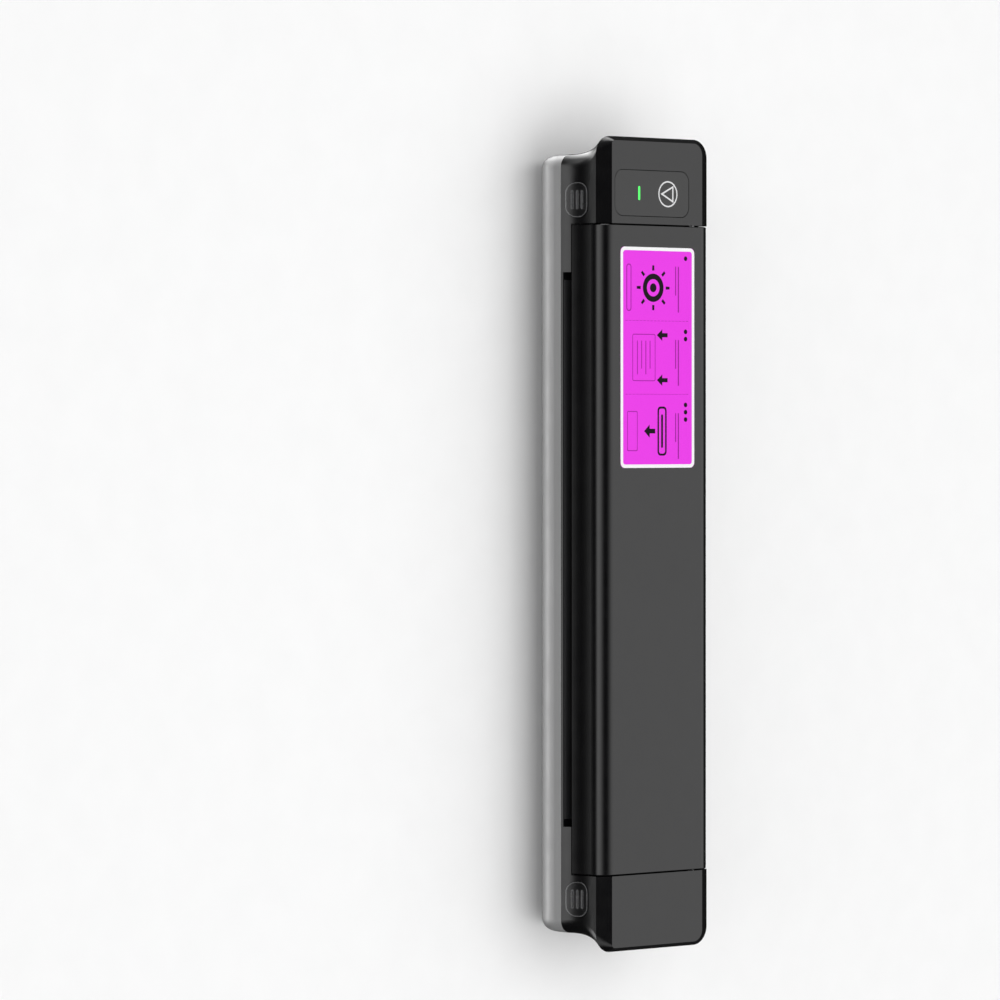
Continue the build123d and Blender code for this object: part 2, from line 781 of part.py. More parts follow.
def cover():
    body = bar_x(cover_section(), bay_span(-cover_half, cover_half))
    ends = [e for i in (0, -1) for e in body.edges().group_by(Axis.X)[i]]
    body = chamfer(ends, cover_edge)
    inner = cover_half - cover_side_wall
    inside = bay_span(-inner, inner)
    body -= bar_x(cover_section(cover_wall), inside)
    body -= block(inside, (front_y_at(cover_lip_z, cover_wall), liner_back_y + seat_gap),
                  (cover_lip_z - beyond, cover_lip_z + cover_wall + beyond))
    posts = [rod_z(cover_post_radius, x, cover_post_y, liner_z, casing_top - cover_wall / 2)
             for x in cover_posts()]
    cuts = [rod_z(small_screw_radius, x, cover_post_y, liner_z - beyond, liner_z + small_screw_grip + beyond)
            for x in cover_posts()]
    for side in (-1, 1):
        barrel = cover_half - hinge_pin_length
        posts.append(rod_x(cover_round - cover_wall / 2, bay_span(barrel, cover_half - cover_edge, side),
                           hinge_y, hinge_z))
        cuts.append(rod_x(hinge_pin_radius + pin_clearance,
                          bay_span(barrel + beyond, cover_half + beyond, side), hinge_y, hinge_z))
        wall_span = bay_span(inner - beyond, cover_half + beyond, side)
        cuts.append(block(wall_span, notch_y, (catch_top_z, notch_top_z)))
        cuts.append(block(wall_span, (catch_y, notch_y[1]), (cover_lip_z - beyond, catch_top_z + seat_gap)))
    return body + posts - fused(cuts)


def hinge_pins():
    """Steel pins pressed in the blocks; the cover turns on them."""
    start = cover_half - hinge_pin_length + hinge_pin_short
    return group([rod_x(hinge_pin_radius, bay_span(start, bay_half + bay_wall, side), hinge_y, hinge_z)
                  for side in (-1, 1)])


def cover_liner():
    """Inner frame of the cover: closes it below and carries the roller in two cross ribs."""
    half = cover_half - cover_side_wall - seat_gap
    front = front_y_at(cover_lip_z, cover_wall) + seat_gap
    plate = block(bay_span(-half, half), (front, liner_back_y), (cover_lip_z, liner_z))
    reach = platen_radius + roller_gap
    rib_end = bushing_start + liner_rib
    rib_top = platen_z + bushing_radius + bushing_cover
    for side in (-1, 1):
        plate += block(bay_span(bushing_start, rib_end, side), around(platen_y, reach), (cover_lip_z, rib_top))
        rail = sorted((platen_y + side * reach, platen_y + side * (reach + liner_rail)))
        plate += block(bay_span(-rib_end, rib_end), rail, (cover_lip_z, liner_z + liner_rail_rise))
    opening = platen_length / 2 + roller_end_gap
    gear_reach = tip_radius[platen_teeth] + gear_side_gap
    below = (0, liner_z + beyond)
    cuts = [
        block(bay_span(-opening, opening), around(platen_y, reach), below),
        block(bay_span(gear_start - gear_side_gap, half + beyond), around(platen_y, gear_reach), (0, casing_top)),
    ]
    rim = bushing_radius + bushing_flange + small_hole_gap
    for side in (-1, 1):
        cuts.append(rod_x(bushing_radius, bay_span(bushing_start - beyond, rib_end + beyond, side),
                          platen_y, platen_z))
        cuts.append(block(bay_span(half - hook_room, half + beyond, side),
                          (notch_y[0] - beyond, notch_y[1] + beyond / 2), below))
        cuts.append(block(bay_span(rib_end, rib_end + bushing_flange + small_hole_gap, side),
                          around(platen_y, rim), below))
    for x in cover_posts():
        cuts.append(rod_z(small_screw_radius + small_hole_gap, x, cover_post_y, *below))
    return plate - fused(cuts)


def small_screw(x, y, head_z, tip_z):
    """Small pan-head screw; its head lies on the far side of head_z from its tip."""
    away = small_screw_head_height if tip_z < head_z else -small_screw_head_height
    shank = rod_z(small_screw_radius, x, y, min(head_z, tip_z), max(head_z, tip_z))
    return shank + rod_z(small_screw_head, x, y, min(head_z, head_z + away), max(head_z, head_z + away))


def cover_screws():
    return group([small_screw(x, cover_post_y, cover_lip_z, liner_z + small_screw_grip)
                  for x in cover_posts()])


# ---------------------------------------------------------------- platen roller and drive
def platen_roller():
    x = bay_span(-platen_length / 2, platen_length / 2)
    tube = rod_x(platen_radius, x, platen_y, platen_z)
    tube = chamfer(tube.edges().filter_by(GeomType.CIRCLE), platen_edge)
    return tube - rod_x(shaft_radius, (x[0] - beyond, x[1] + beyond), platen_y, platen_z)


def shaft_flat_block():
    """The slice that the shaft lacks and the gear's D bore fills."""
    return block(bay_span(gear_start, gear_end + shaft_radius), around(platen_y, platen_radius),
                 (platen_z + shaft_radius - shaft_flat, platen_z + platen_radius))


def platen_shaft():
    """Steel shaft with a flat for the gear."""
    x = bay_span(-bushing_start - bushing_length - shaft_stub, gear_end)
    shaft = rod_x(shaft_radius, x, platen_y, platen_z)
    shaft = chamfer(shaft.edges().filter_by(GeomType.CIRCLE), shaft_edge)
    return shaft - shaft_flat_block()


def platen_bushings():
    """Flanged bushings in the liner's ribs."""
    bushings = []
    end = bushing_start + bushing_length
    for side in (-1, 1):
        body = rod_x(bushing_radius, bay_span(bushing_start, end, side), platen_y, platen_z)
        body += rod_x(bushing_radius + bushing_flange, bay_span(end, end + bushing_flange, side),
                      platen_y, platen_z)
        bore = bay_span(bushing_start - beyond, end + bushing_flange + beyond, side)
        bushings.append(body - rod_x(shaft_radius + pin_clearance, bore, platen_y, platen_z))
    return group(bushings)


def gear_section(teeth, phase):
    """Involute spur gear in the Y-Z plane about the origin; phase is the angle of a tooth."""
    pitch_r = gear_module * teeth / 2
    base_r = pitch_r * cos(radians(pressure_angle))
    tip_r = tip_radius[teeth]
    root_r = pitch_r - gear_module * dedendum_factor

    def involute(r):
        ratio = min(base_r / r, 1.0)
        return sqrt(1 / ratio**2 - 1) - acos(ratio)

    half_tooth = pi / (2 * teeth) - backlash / (2 * pitch_r) + involute(pitch_r)

    def point(r, angle):
        return (0, r * cos(angle), r * sin(angle))

    def flank(r):
        return half_tooth - involute(r)

    start_r = max(base_r, root_r)
    middle_r = (start_r + tip_r) / 2
    edges = []
    for i in range(teeth):
        centre = radians(phase) + 2 * pi * i / teeth
        following = centre + 2 * pi / teeth
        low, high = centre - flank(start_r), centre + flank(start_r)
        edges += [
            Line(point(root_r, low), point(start_r, low)),
            ThreePointArc(point(start_r, low), point(middle_r, centre - flank(middle_r)),
                          point(tip_r, centre - flank(tip_r))),
            Line(point(tip_r, centre - flank(tip_r)), point(tip_r, centre + flank(tip_r))),
            ThreePointArc(point(tip_r, centre + flank(tip_r)),
                          point(middle_r, centre + flank(middle_r)), point(start_r, high)),
            Line(point(start_r, high), point(root_r, high)),
            Line(point(root_r, high), point(root_r, following - flank(start_r))),
        ]
    return make_face(edges)


def gear(teeth, phase, y, z, bore):
    wheel = Pos(0, y, z) * bar_x(gear_section(teeth, phase), bay_span(gear_start, gear_end))
    return wheel - rod_x(bore, bay_span(gear_start - beyond, gear_end + beyond), y, z)


def platen_gear():
    """Its lowest tooth points straight down at the idler; the D bore fits the shaft's flat."""
    wheel = gear(platen_teeth, -90.0, platen_y, platen_z, shaft_radius)
    key = rod_x(shaft_radius, bay_span(gear_start, gear_end), platen_y, platen_z)
    return wheel + (key & shaft_flat_block())


def idler_gear():
    """Meshes below the platen gear, with a gap pointing straight up at it."""
    wheel = gear(idler_teeth, idler_phase, idler_y, idler_z, idler_stud_radius + pin_clearance)
    root_r = gear_module * (idler_teeth / 2 - dedendum_factor)
    recess = bay_span(gear_start - beyond, gear_start + web_depth)
    web = rod_x(root_r - idler_rim, recess, idler_y, idler_z)
    return wheel - (web - rod_x(idler_stud_radius + idler_hub, recess, idler_y, idler_z))


def pinion_phase():
    """Angle of a pinion tooth that leaves a gap facing the idler's nearest tooth."""
    to_motor = degrees(atan2(motor_z - idler_z, motor_y - idler_y))
    ahead = -((to_motor - idler_phase) % (360.0 / idler_teeth))
    gap = to_motor + 180.0 - ahead * idler_teeth / pinion_teeth
    return gap + 180.0 / pinion_teeth


def motor_pinion():
    return gear(pinion_teeth, pinion_phase(), motor_y, motor_z, motor_shaft_radius)


def bracket_span_y():
    return (front_y + front_round, motor_y + motor_radius + bracket_margin)


def bracket_screw_places():
    x = bay_x(bracket_start - bracket_foot / 2)
    front, back = bracket_span_y()
    return [(x, front + bracket_screw_inset), (x, back - bracket_screw_inset)]


def drive_bracket():
    """Folded steel plate: upright carrying the motor and the idler's stud, and a foot."""
    x, y = bay_span(bracket_start, motor_start), bracket_span_y()
    plate = block(x, y, (floor_z, deck_bottom_z - bracket_top_gap))
    corners = [e for e in plate.edges().filter_by(Axis.X) if e.center().Z > idler_z]
    plate = fillet(corners, bracket_corner)
    foot = block(bay_span(bracket_start - bracket_foot, motor_start), y,
                 (floor_z, floor_z + bracket_thickness))
    foot = fillet(foot.edges().filter_by(Axis.Z).group_by(Axis.X)[0], bracket_foot_corner)
    hole = (x[0] - beyond, x[1] + beyond)
    cuts = [rod_x(motor_nose_radius + seat_gap, hole, motor_y, motor_z),
            rod_x(idler_stud_radius, hole, idler_y, idler_z)]
    for sx, sy in bracket_screw_places():
        cuts.append(rod_z(bracket_screw_radius + small_hole_gap, sx, sy, 0, floor_z + wall))
    return plate + foot - fused(cuts)


def idler_stud():
    """Riveted in the bracket; its head keeps the idler on and a shoulder spaces it off."""
    head_back = gear_start - stud_side_gap
    stud = rod_x(idler_stud_radius, bay_span(head_back, motor_start), idler_y, idler_z)
    head = bay_span(head_back - stud_head_thickness, head_back)
    shoulder = bay_span(gear_end + stud_side_gap, bracket_start)
    return stud + [rod_x(idler_stud_radius + stud_head, span, idler_y, idler_z)
                   for span in (head, shoulder)]


def motor():
    """Flat-sided can motor, with the nose that locates it and a rear bearing boss."""
    end = motor_start + motor_length
    can = rod_x(motor_radius, bay_span(motor_start, end), motor_y, motor_z)
    can &= block(bay_span(motor_start, end), around(motor_y, motor_radius), around(motor_z, motor_flat))
    can = chamfer(can.edges().group_by(Axis.X)[-1], motor_edge)
    can += rod_x(motor_nose_radius, bay_span(bracket_start, motor_start), motor_y, motor_z)
    can += rod_x(motor_boss_radius, bay_span(end, end + motor_boss_length), motor_y, motor_z)
    return can - rod_x(motor_shaft_radius + pin_clearance, bay_span(bracket_start - beyond, end),
                       motor_y, motor_z)


def motor_shaft():
    end = motor_start + motor_length - motor_edge
    return rod_x(motor_shaft_radius, bay_span(gear_start, end), motor_y, motor_z)


def bracket_screws():
    top = floor_z + bracket_thickness
    return group([rod_z(bracket_screw_radius, x, y, floor_z, top)
                  + rod_z(bracket_screw_head, x, y, top, top + small_screw_head_height)
                  for x, y in bracket_screw_places()])


# ---------------------------------------------------------------- print head
def print_head():
    """Ceramic bar with the raised heater line under the roller."""
    x = bay_span(-head_length / 2, head_length / 2)
    bar = block(x, around(platen_y, head_bar_depth / 2), (head_bar_bottom, head_bar_top))
    front, back = around(platen_y, heater_half_width)
    line = yz_polygon((front - heater_slope, head_bar_top), (front, print_line_z),
                      (back, print_line_z), (back + heater_slope, head_bar_top))
    return bar + bar_x(line, x)


def head_heatsink():
    """Extruded aluminium carrier of the print head, with fins and a pivot channel."""
    x = bay_span(-head_length / 2, head_length / 2)
    low = head_plate_bottom
    section = yz_polygon((head_front_y, head_bar_bottom), (head_back_y, head_bar_bottom), (head_back_y, low),
                         (head_pivot_y, head_pivot_z + pivot_boss_radius),
                         (head_pivot_y - pivot_boss_radius, head_pivot_z),
                         (head_back_y - pivot_web, low), (head_front_y, low))
    body = bar_x(section, x) + rod_x(pivot_boss_radius, x, head_pivot_y, head_pivot_z)
    for i in range(fin_count):
        y = head_front_y + i * fin_pitch
        body += block(x, (y, y + fin_depth), (low - fin_drop, low))
    return body - rod_x(head_pin_radius, (x[0] - beyond, x[1] + beyond), head_pivot_y, head_pivot_z)


def head_pivot_pins():
    """Pins pressed in the carrier's channel; they turn in the ears under the deck."""
    start, end = head_length / 2 - head_pin_grip, pivot_ear_start + pivot_ear_thickness
    return group([rod_x(head_pin_radius, bay_span(start, end, side), head_pivot_y, head_pivot_z)
                  for side in (-1, 1)])


def head_springs():
    """Leaf springs that press the head up at the roller."""
    front, back = platen_y - spring_front_reach, platen_y + spring_back_reach
    low = spring_post_top + spring_strip / 2
    high = head_plate_bottom - fin_drop - spring_strip / 2
    bend = (high - low) / 2
    lower = Line((0, back, low), (0, front, low))
    turn = ThreePointArc((0, front, low), (0, front - bend, low + bend), (0, front, high))
    upper = Line((0, front, high), (0, back - spring_setback, high))
    plane = Plane(origin=(0, back, low), x_dir=(1, 0, 0), z_dir=(0, -1, 0))
    strip = sweep(plane * Rectangle(spring_width, spring_strip), path=Wire((lower + turn + upper).edges()))
    return group([Pos(bay_x(spring_post_x, side), 0, 0) * strip for side in (-1, 1)])


# ---------------------------------------------------------------- paper path
def guide_ribs(half, y):
    """Fine ribs along the paper's way."""
    count = int(half / rib_pitch)
    return fused([block(around(bay_x(i * rib_pitch), rib_width / 2), y, (guide_z, guide_z + rib_height))
                  for i in range(-count, count + 1)])


def exit_guide():
    """Insert in the front slot: thin lip over the casing's edge, fine ribs along the paper."""
    half = exit_guide_length / 2
    x = bay_span(-half, half)
    lip_y = front_y_at(guide_z) + guide_lip
    body = block(x, (exit_seat_front_y, exit_seat_back_y), (exit_seat_z, guide_z))
    body += block(x, (lip_y, exit_seat_front_y + wall / 2), (strip_z, guide_z))
    lip = [e for e in body.edges().filter_by(Axis.X) if abs(e.center().Y - lip_y) < 0.01]
    body = fillet(lip[-1], guide_lip_round)
    return body + guide_ribs(half, (exit_seat_front_y + wall, exit_seat_back_y - rib_width))


def inlet_guide():
    """Lies on the deck behind the print head and leads the paper in from the back slot."""
    half = slot_length / 2 - guide_thickness
    front, back = opening_back_y + beyond, back_y - wall - guide_thickness
    body = block(bay_span(-half, half), (front, back), (strip_z, guide_z))
    body = chamfer(body.edges().filter_by(Axis.X).group_by(Axis.Z)[-1].sort_by(Axis.Y)[0], guide_lip_round)
    body += guide_ribs(half, (front + rib_width, beam_front_y - rib_width))
    return body - sensor_space(seat_gap, guide_z + beyond)


def sensor_space(grow, z1):
    return block(around(bay_x(sensor_x), sensor_length / 2 + grow), around(sensor_y, sensor_depth / 2 + grow),
                 (strip_z, z1))


def paper_sensor():
    """Reflective sensor on the deck, just under the paper."""
    top = guide_z - sensor_drop
    eyes = [rod_z(sensor_eye_radius, x, sensor_y, top - sensor_eye_depth, guide_z)
            for x in around(bay_x(sensor_x), sensor_length / 4)]
    return sensor_space(0, top) - fused(eyes)


# ---------------------------------------------------------------- release buttons and latches
def button_front_y(z):
    """Face of a release button: the casing's hollow front, a little proud of it."""
    return front_y_at(z) - button_proud


def release_button(side):
    """Follows the hollow front, has finger grooves, and inside a stop flange and a press boss."""
    x = bay_x(release_middle, side)
    low_z, bend_z, high_z = seam_z, (seam_z + cove_top_z) / 2, cove_top_z
    high = (0, button_front_y(high_z), high_z)
    low = (0, button_front_y(low_z), low_z)
    outline_edges = [ThreePointArc(low, (0, button_front_y(bend_z), bend_z), high),
                     Line(high, (0, 0, high_z)), Line((0, 0, high_z), (0, 0, low_z)),
                     Line((0, 0, low_z), low)]
    body = button_form(side, 0, (front_y - beyond, flange_front_y))
    body &= bar_x(make_face(outline_edges), around(x, button_length))
    for i in range(grip_count):
        z = button_z + (i - (grip_count - 1) / 2) * grip_pitch
        back = button_front_y(z) + grip_depth
        body -= slot_tool(around(x, grip_half_length), (front_y - 2 * beyond, back),
                          around(z, grip_width / 2), grip_width / 2 - key_edge)
    flange = button_form(side, flange_grow, (flange_front_y, flange_front_y + flange_thickness))
    flange &= block(bay_span(bay_half + bay_wall + flange_gap, far_end + control_end, side),
                    (front_y, 0), (0, casing_top))
    boss = Pos(x, (flange_front_y + boss_back_y) / 2, button_z) * Rot(90, 0, 0) * Cylinder(
        press_boss_radius, boss_back_y - flange_front_y)
    return body + flange + boss


def latch(side):
    """Lever behind a release button, with a hook arm that reaches into the cover's notch."""
    lever = bay_span(release_middle - lever_width / 2, release_middle + lever_width / 2, side)
    y = (lever_front_y, lever_back_y)
    body = block(lever, y, (latch_pivot_z, lever_top_z))
    body += rod_x(latch_pin_radius + latch_barrel_wall, lever, latch_pivot_y, latch_pivot_z)
    inner = cover_half - cover_side_wall + hook_side_gap
    body += block(bay_span(inner, release_middle, side), y, hook_z)
    nose = yz_polygon((catch_y + latch_gap, hook_z[0]), (lever_back_y, hook_z[0]),
                      (lever_back_y, hook_z[1]))
    body += bar_x(nose, bay_span(inner, cover_half - hook_side_gap, side))
    bore = (lever[0] - beyond, lever[1] + beyond)
    return body - rod_x(latch_pin_radius + pin_clearance, bore, latch_pivot_y, latch_pivot_z)


def latch_pins():
    pins = []
    for side in (-1, 1):
        near, far = ear_spans(side)
        span = (min(near[0], far[0]), max(near[1], far[1]))
        pins.append(rod_x(latch_pin_radius, span, latch_pivot_y, latch_pivot_z))
    return group(pins)


def latch_springs():
    """Torsion springs round the latch pins, between each lever and its first ear."""
    springs = []
    radius = latch_pin_radius + latch_spring_gap + latch_spring_wire / 2
    height = latch_spring_pitch * latch_spring_turns
    coil = Helix(pitch=latch_spring_pitch, height=height, radius=radius, direction=(1, 0, 0))
    wire = sweep(Plane(origin=coil @ 0, z_dir=coil % 0) * Circle(latch_spring_wire / 2), path=coil)
    for side in (-1, 1):
        middle = bay_x(release_middle - (lever_width + spring_room) / 2, side)
        springs.append(Pos(middle - height / 2, latch_pivot_y, latch_pivot_z) * wire)
    return group(springs)


# ---------------------------------------------------------------- control panel
def feed_key():
    """Flush panel over the switch, held by four snap tabs."""
    body = key_plan(0, casing_top - wall, casing_top)
    body = chamfer(body.edges().group_by(Axis.Z)[-1], key_edge)
    for y in around(key_y, key_tab_spread):
        body += block(around(key_x, key_length / 2 + key_tab_reach), around(y, key_tab_width / 2),
                      (key_tab_bottom, key_tab_top))
    body += block(around(key_x, key_length / 4), around(key_y, key_pad_half),
                  (key_tab_bottom, casing_top - wall))
    return body - lamp_form(key_tab_bottom - beyond, casing_top + beyond)


def lamp_form(z0, z1):
    return Pos(key_x, lamp_y, z0) * extrude(SlotOverall(lamp_length, lamp_width), z1 - z0)


def light_pipe():
    """Clear bar pressed in the key panel, over the lamp."""
    return lamp_form(key_tab_bottom, casing_top)


def key_board():
    """Small board screwed to two posts under the top of the control end."""
    x = (key_x - key_length / 2 - key_board_outer, key_x + key_length / 2 - key_board_inner)
    body = block(x, around(key_y, key_board_half_depth), (key_board_top - key_board_thickness, key_board_top))
    body = fillet(body.edges().filter_by(Axis.Z), key_board_corner)
    return body - fused([rod_z(small_screw_radius + small_hole_gap, key_post_x, y, 0, casing_top)
                         for y in around(key_y, key_post_spread)])


def key_switch():
    """Tact switch under the middle of the key."""
    half = switch_size / 2
    body = block(around(key_x, half), around(key_y, half), (key_board_top, key_board_top + switch_body_height))
    body = chamfer(body.edges().filter_by(Axis.Z), switch_edge)
    return body + rod_z(plunger_radius, key_x, key_y, key_board_top, key_board_top + switch_height)


def key_lamp():
    return block(around(key_x, key_lamp_length / 2), around(lamp_y, key_lamp_depth / 2),
                 (key_board_top, key_board_top + key_lamp_height))


def key_board_screws():
    return group([small_screw(key_post_x, y, key_board_top - key_board_thickness,
                              key_board_top + small_screw_grip / 2)
                  for y in around(key_y, key_post_spread)])


# ---------------------------------------------------------------- electronics and power
def main_board():
    x = (board_start_x, board_start_x + board_length)
    board = block(x, (board_front_y, board_front_y + board_depth), (board_z, board_top_z))
    return board - fused([rod_z(small_screw_radius + small_hole_gap, px, py, 0, board_top_z + beyond)
                          for px, py in board_post_places()[2:]])


def board_chips():
    """Three chips in a row along the board, then the plugs of the cells and the motor."""
    middle = board_front_y + board_depth / 2
    chips = []
    for i, size in enumerate(chip_sizes):
        x = board_start_x + chip_start + i * chip_pitch
        chips.append(block(around(x, size / 2), around(middle, size / 2),
                           (board_top_z, board_top_z + chip_height)))
    for i in range(plug_count):
        y = middle + (i - (plug_count - 1) / 2) * plug_pitch
        chips.append(block(around(board_start_x + plug_start, plug_size / 2), around(y, plug_size / 2),
                           (board_top_z, board_top_z + plug_height)))
    return group(chips)


def usb_socket():
    """Charging socket: a folded steel shell with its contact tongue."""
    start = -base_half + usb_setback
    plane = Plane.YZ * Pos(usb_y, usb_z)
    shell = plane * RectangleRounded(usb_width, usb_height, usb_rounding * usb_height)
    mouth_height = usb_height - 2 * usb_wall
    mouth = plane * RectangleRounded(usb_width - 2 * usb_wall, mouth_height, usb_rounding * mouth_height)
    body = bar_x(shell, (start, start + usb_length)) - bar_x(mouth, (start, start + usb_length - beyond))
    return body + block((start + usb_tongue_setback, start + usb_length),
                        around(usb_y, usb_tongue_width / 2), around(usb_z, usb_tongue_height / 2))


def battery_cells():
    """Two round cells end to end, with their positive caps."""
    cells = []
    for start, end in cell_spans():
        body = rod_x(cell_radius, (start + cell_cap_height, end), cell_y, cell_z)
        body = fillet(body.edges().filter_by(GeomType.CIRCLE), cell_edge)
        cells.append(body + rod_x(cell_cap_radius, (start, start + cell_cap_height), cell_y, cell_z))
    return group(cells)


def board_screws():
    """Two screws hold the main board on its posts."""
    return group([small_screw(x, y, board_top_z, floor_z) for x, y in board_post_places()[2:]])


# ---------------------------------------------------------------- fasteners, feet and label
def casing_screws():
    """From below, through the lower casing into the posts of the upper one."""
    screws = []
    low = screw_head_z - screw_head_height
    for x, y in screw_places():
        head = rod_z(screw_head_radius, x, y, low, screw_head_z)
        shank = rod_z(pilot_radius, x, y, screw_head_z, post_bottom_z + screw_grip)
        screws.append(head + shank - rod_z(screw_drive_radius, x, y, low - beyond, low + beyond))
    return group(screws)


def rubber_feet():
    feet = []
    for x, y in foot_places():
        foot = rod_z(foot_radius, x, y, 0.0, foot_height + foot_recess)
        feet.append(chamfer(foot.edges().group_by(Axis.Z)[0], foot_edge))
    return group(feet)


def instruction_label():
    """Thin sticker on the cover."""
    plan = RectangleRounded(label_length, label_width, label_corner)
    x = bay_x(-bay_half) + label_inset_x + label_length / 2
    y = flat_front_y + label_inset_y + label_width / 2
    return Pos(x, y, casing_top) * extrude(plan, label_thickness)


# ---------------------------------------------------------------- write the parts
parts = {
    "lower_casing": lower_casing, "upper_casing": upper_casing, "cover": cover,
    "cover_liner": cover_liner, "cover_screws": cover_screws, "hinge_pins": hinge_pins,
    "platen_roller": platen_roller, "platen_shaft": platen_shaft,
    "platen_bushings": platen_bushings, "platen_gear": platen_gear, "idler_gear": idler_gear,
    "idler_stud": idler_stud, "motor_pinion": motor_pinion, "motor_shaft": motor_shaft,
    "motor": motor, "drive_bracket": drive_bracket, "bracket_screws": bracket_screws,
    "print_head": print_head, "head_heatsink": head_heatsink,
    "head_pivot_pins": head_pivot_pins, "head_springs": head_springs,
    "exit_guide": exit_guide, "inlet_guide": inlet_guide, "paper_sensor": paper_sensor,
    "release_button_left": lambda: release_button(-1),
    "release_button_right": lambda: release_button(1),
    "latch_left": lambda: latch(-1), "latch_right": lambda: latch(1),
    "latch_pins": latch_pins, "latch_springs": latch_springs,
    "feed_key": feed_key, "light_pipe": light_pipe, "key_board": key_board,
    "key_switch": key_switch, "key_lamp": key_lamp, "key_board_screws": key_board_screws,
    "main_board": main_board, "board_chips": board_chips, "usb_socket": usb_socket,
    "board_screws": board_screws, "battery_cells": battery_cells,
    "casing_screws": casing_screws, "rubber_feet": rubber_feet,
    "instruction_label": instruction_label,
}

os.makedirs("parts", exist_ok=True)
for name, make in parts.items():
    export_step(make(), f"parts/{name}.step")
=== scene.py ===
import json
from math import cos, pi, radians, sin

import bmesh
import bpy
from mathutils import Matrix, Vector


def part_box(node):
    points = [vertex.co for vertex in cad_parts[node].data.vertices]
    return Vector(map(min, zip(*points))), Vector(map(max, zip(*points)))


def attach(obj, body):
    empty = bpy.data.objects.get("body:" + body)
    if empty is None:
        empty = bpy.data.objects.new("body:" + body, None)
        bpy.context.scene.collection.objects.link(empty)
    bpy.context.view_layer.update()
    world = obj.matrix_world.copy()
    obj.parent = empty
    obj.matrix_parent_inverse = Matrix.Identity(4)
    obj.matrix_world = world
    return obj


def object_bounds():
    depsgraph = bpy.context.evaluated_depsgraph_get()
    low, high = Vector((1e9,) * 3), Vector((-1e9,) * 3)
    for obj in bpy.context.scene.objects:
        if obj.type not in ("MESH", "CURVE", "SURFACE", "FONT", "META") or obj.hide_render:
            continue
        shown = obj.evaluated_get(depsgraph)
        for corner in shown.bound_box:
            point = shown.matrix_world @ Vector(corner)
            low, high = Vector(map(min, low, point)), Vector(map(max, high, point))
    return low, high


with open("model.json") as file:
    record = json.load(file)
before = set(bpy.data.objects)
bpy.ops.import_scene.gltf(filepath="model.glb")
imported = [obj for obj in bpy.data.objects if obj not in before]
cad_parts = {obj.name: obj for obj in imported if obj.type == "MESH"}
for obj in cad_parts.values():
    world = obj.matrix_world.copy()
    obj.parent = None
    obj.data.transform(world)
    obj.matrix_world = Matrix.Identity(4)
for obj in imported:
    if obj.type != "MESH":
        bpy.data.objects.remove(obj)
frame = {"nodes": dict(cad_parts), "record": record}
cad_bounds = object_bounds()

# Portable thermal stencil copier. Metres, +Z up, +X from the control end to the far end,
# -Y is the front. The label and the key's sign are drawn in millimetres.
MM = 0.001

# camera: it looks down on the front from a long way off, rolled so that the control end is up
IMAGE_SIZE = 1000
FOCAL_PIXELS = 5532.0
SENSOR_MM = 36.0
CAMERA_DISTANCE = 2.13
CAMERA_TILT = 42.8            # degrees from straight above, towards the front
CAMERA_X = -0.044             # the camera stands over this point of the length
CAMERA_CLIP = (0.1, 20.0)
OBJECT_PIXEL = (617.1, 542.9)  # where the middle of the casing falls in the image

# colours, linear
BLACK = (0.0026, 0.0025, 0.0029)
KEY_BLACK = (0.0062, 0.0062, 0.0064)
BUTTON_BLACK = (0.0040, 0.0040, 0.0044)
# painted highlight: pale colour for the release buttons' rims and rib edges, standing in for light
# caught by their rounding
BUTTON_RIM_HIGHLIGHT = (0.20, 0.20, 0.205)
INNER_BLACK = (0.011, 0.011, 0.012)
BASE_GREY = (0.228, 0.228, 0.230)
LAMP_GREEN = (0.05, 0.84, 0.10)
MAGENTA = (0.79, 0.045, 0.77)
WHITE_INK = (0.88, 0.88, 0.89)
LABEL_INK = (0.006, 0.003, 0.006)
FAINT_INK = (0.30, 0.012, 0.29)
SYMBOL_INK = (0.72, 0.72, 0.73)
MASK_GREEN = (0.004, 0.060, 0.020)
TRACK_GREEN = (0.012, 0.115, 0.045)
PAPER = ((0.90, 0.90, 0.90), (0.915, 0.915, 0.915))

# surface noises, features per metre
FLOW = 38.0                   # faint colour streaks of moulded plastic
HANDLING = 160.0              # uneven gloss of moulded plastic
METAL_MARKS = 900.0
INK_COVER = 2600.0
FROST = 3000.0
GROUND_RUBBER = 5200.0
TRACKS = 420.0                # cells of the circuit board's pattern
MASK_GLOSS = 900.0
PAPER_CLOUDS = 60.0

# marks on the key, millimetres
SYMBOL_LIFT = 0.03            # ink above the key
SYMBOL_FROM_BACK = 11.0       # back edge of the key to the middle of its sign
SYMBOL_RADIUS = 5.0
SYMBOL_LINE = 0.55
TRIANGLE = ((0.0, -3.9), (3.3, 2.9), (-3.3, 2.9))
TRIANGLE_HOLE = 0.7           # hole's share of the triangle
TRIANGLE_HEART = 0.8          # the hole shrinks about this point, behind the ring's middle

# marks on the instruction label, millimetres; a box is left, bottom, right and top from the
# middle of its sign, and an edge is a line's width with its outer and inner corner radius
LABEL_LIFT = 0.004            # ink above the film
MARGIN = 1.3                  # white border
MARGIN_EDGE = (MARGIN, 2.2, 1.2)
PANELS = 3                    # steps side by side
PANEL_INSET = 3.2             # left edge of a panel to its dots
FOLD_DASHES = 18              # dashes of the line between two panels
DASH_LENGTH = 1.2
DASH_HALF_WIDTH = 0.08
CAPTION_DROP = 8.4            # top of the label to the upper caption line
CAPTION_INDENT = 4.0
CAPTIONS = ((21.5, -0.3, 0.3), (15.0, -1.7, -1.2))  # right end, bottom and top of each line
DOT_DROP = 4.6                # top of the label to the dots that number the panels
DOT_RADIUS = 0.9
DOT_INSET = 0.8
DOT_PITCH = 2.8
PRESS_PLACE = (0.55, 0.44)    # shares of the panel's width and of the label's height
PRESS_RADII = (5.4, 3.3)
PRESS_DOT = 1.7
RAYS = 8
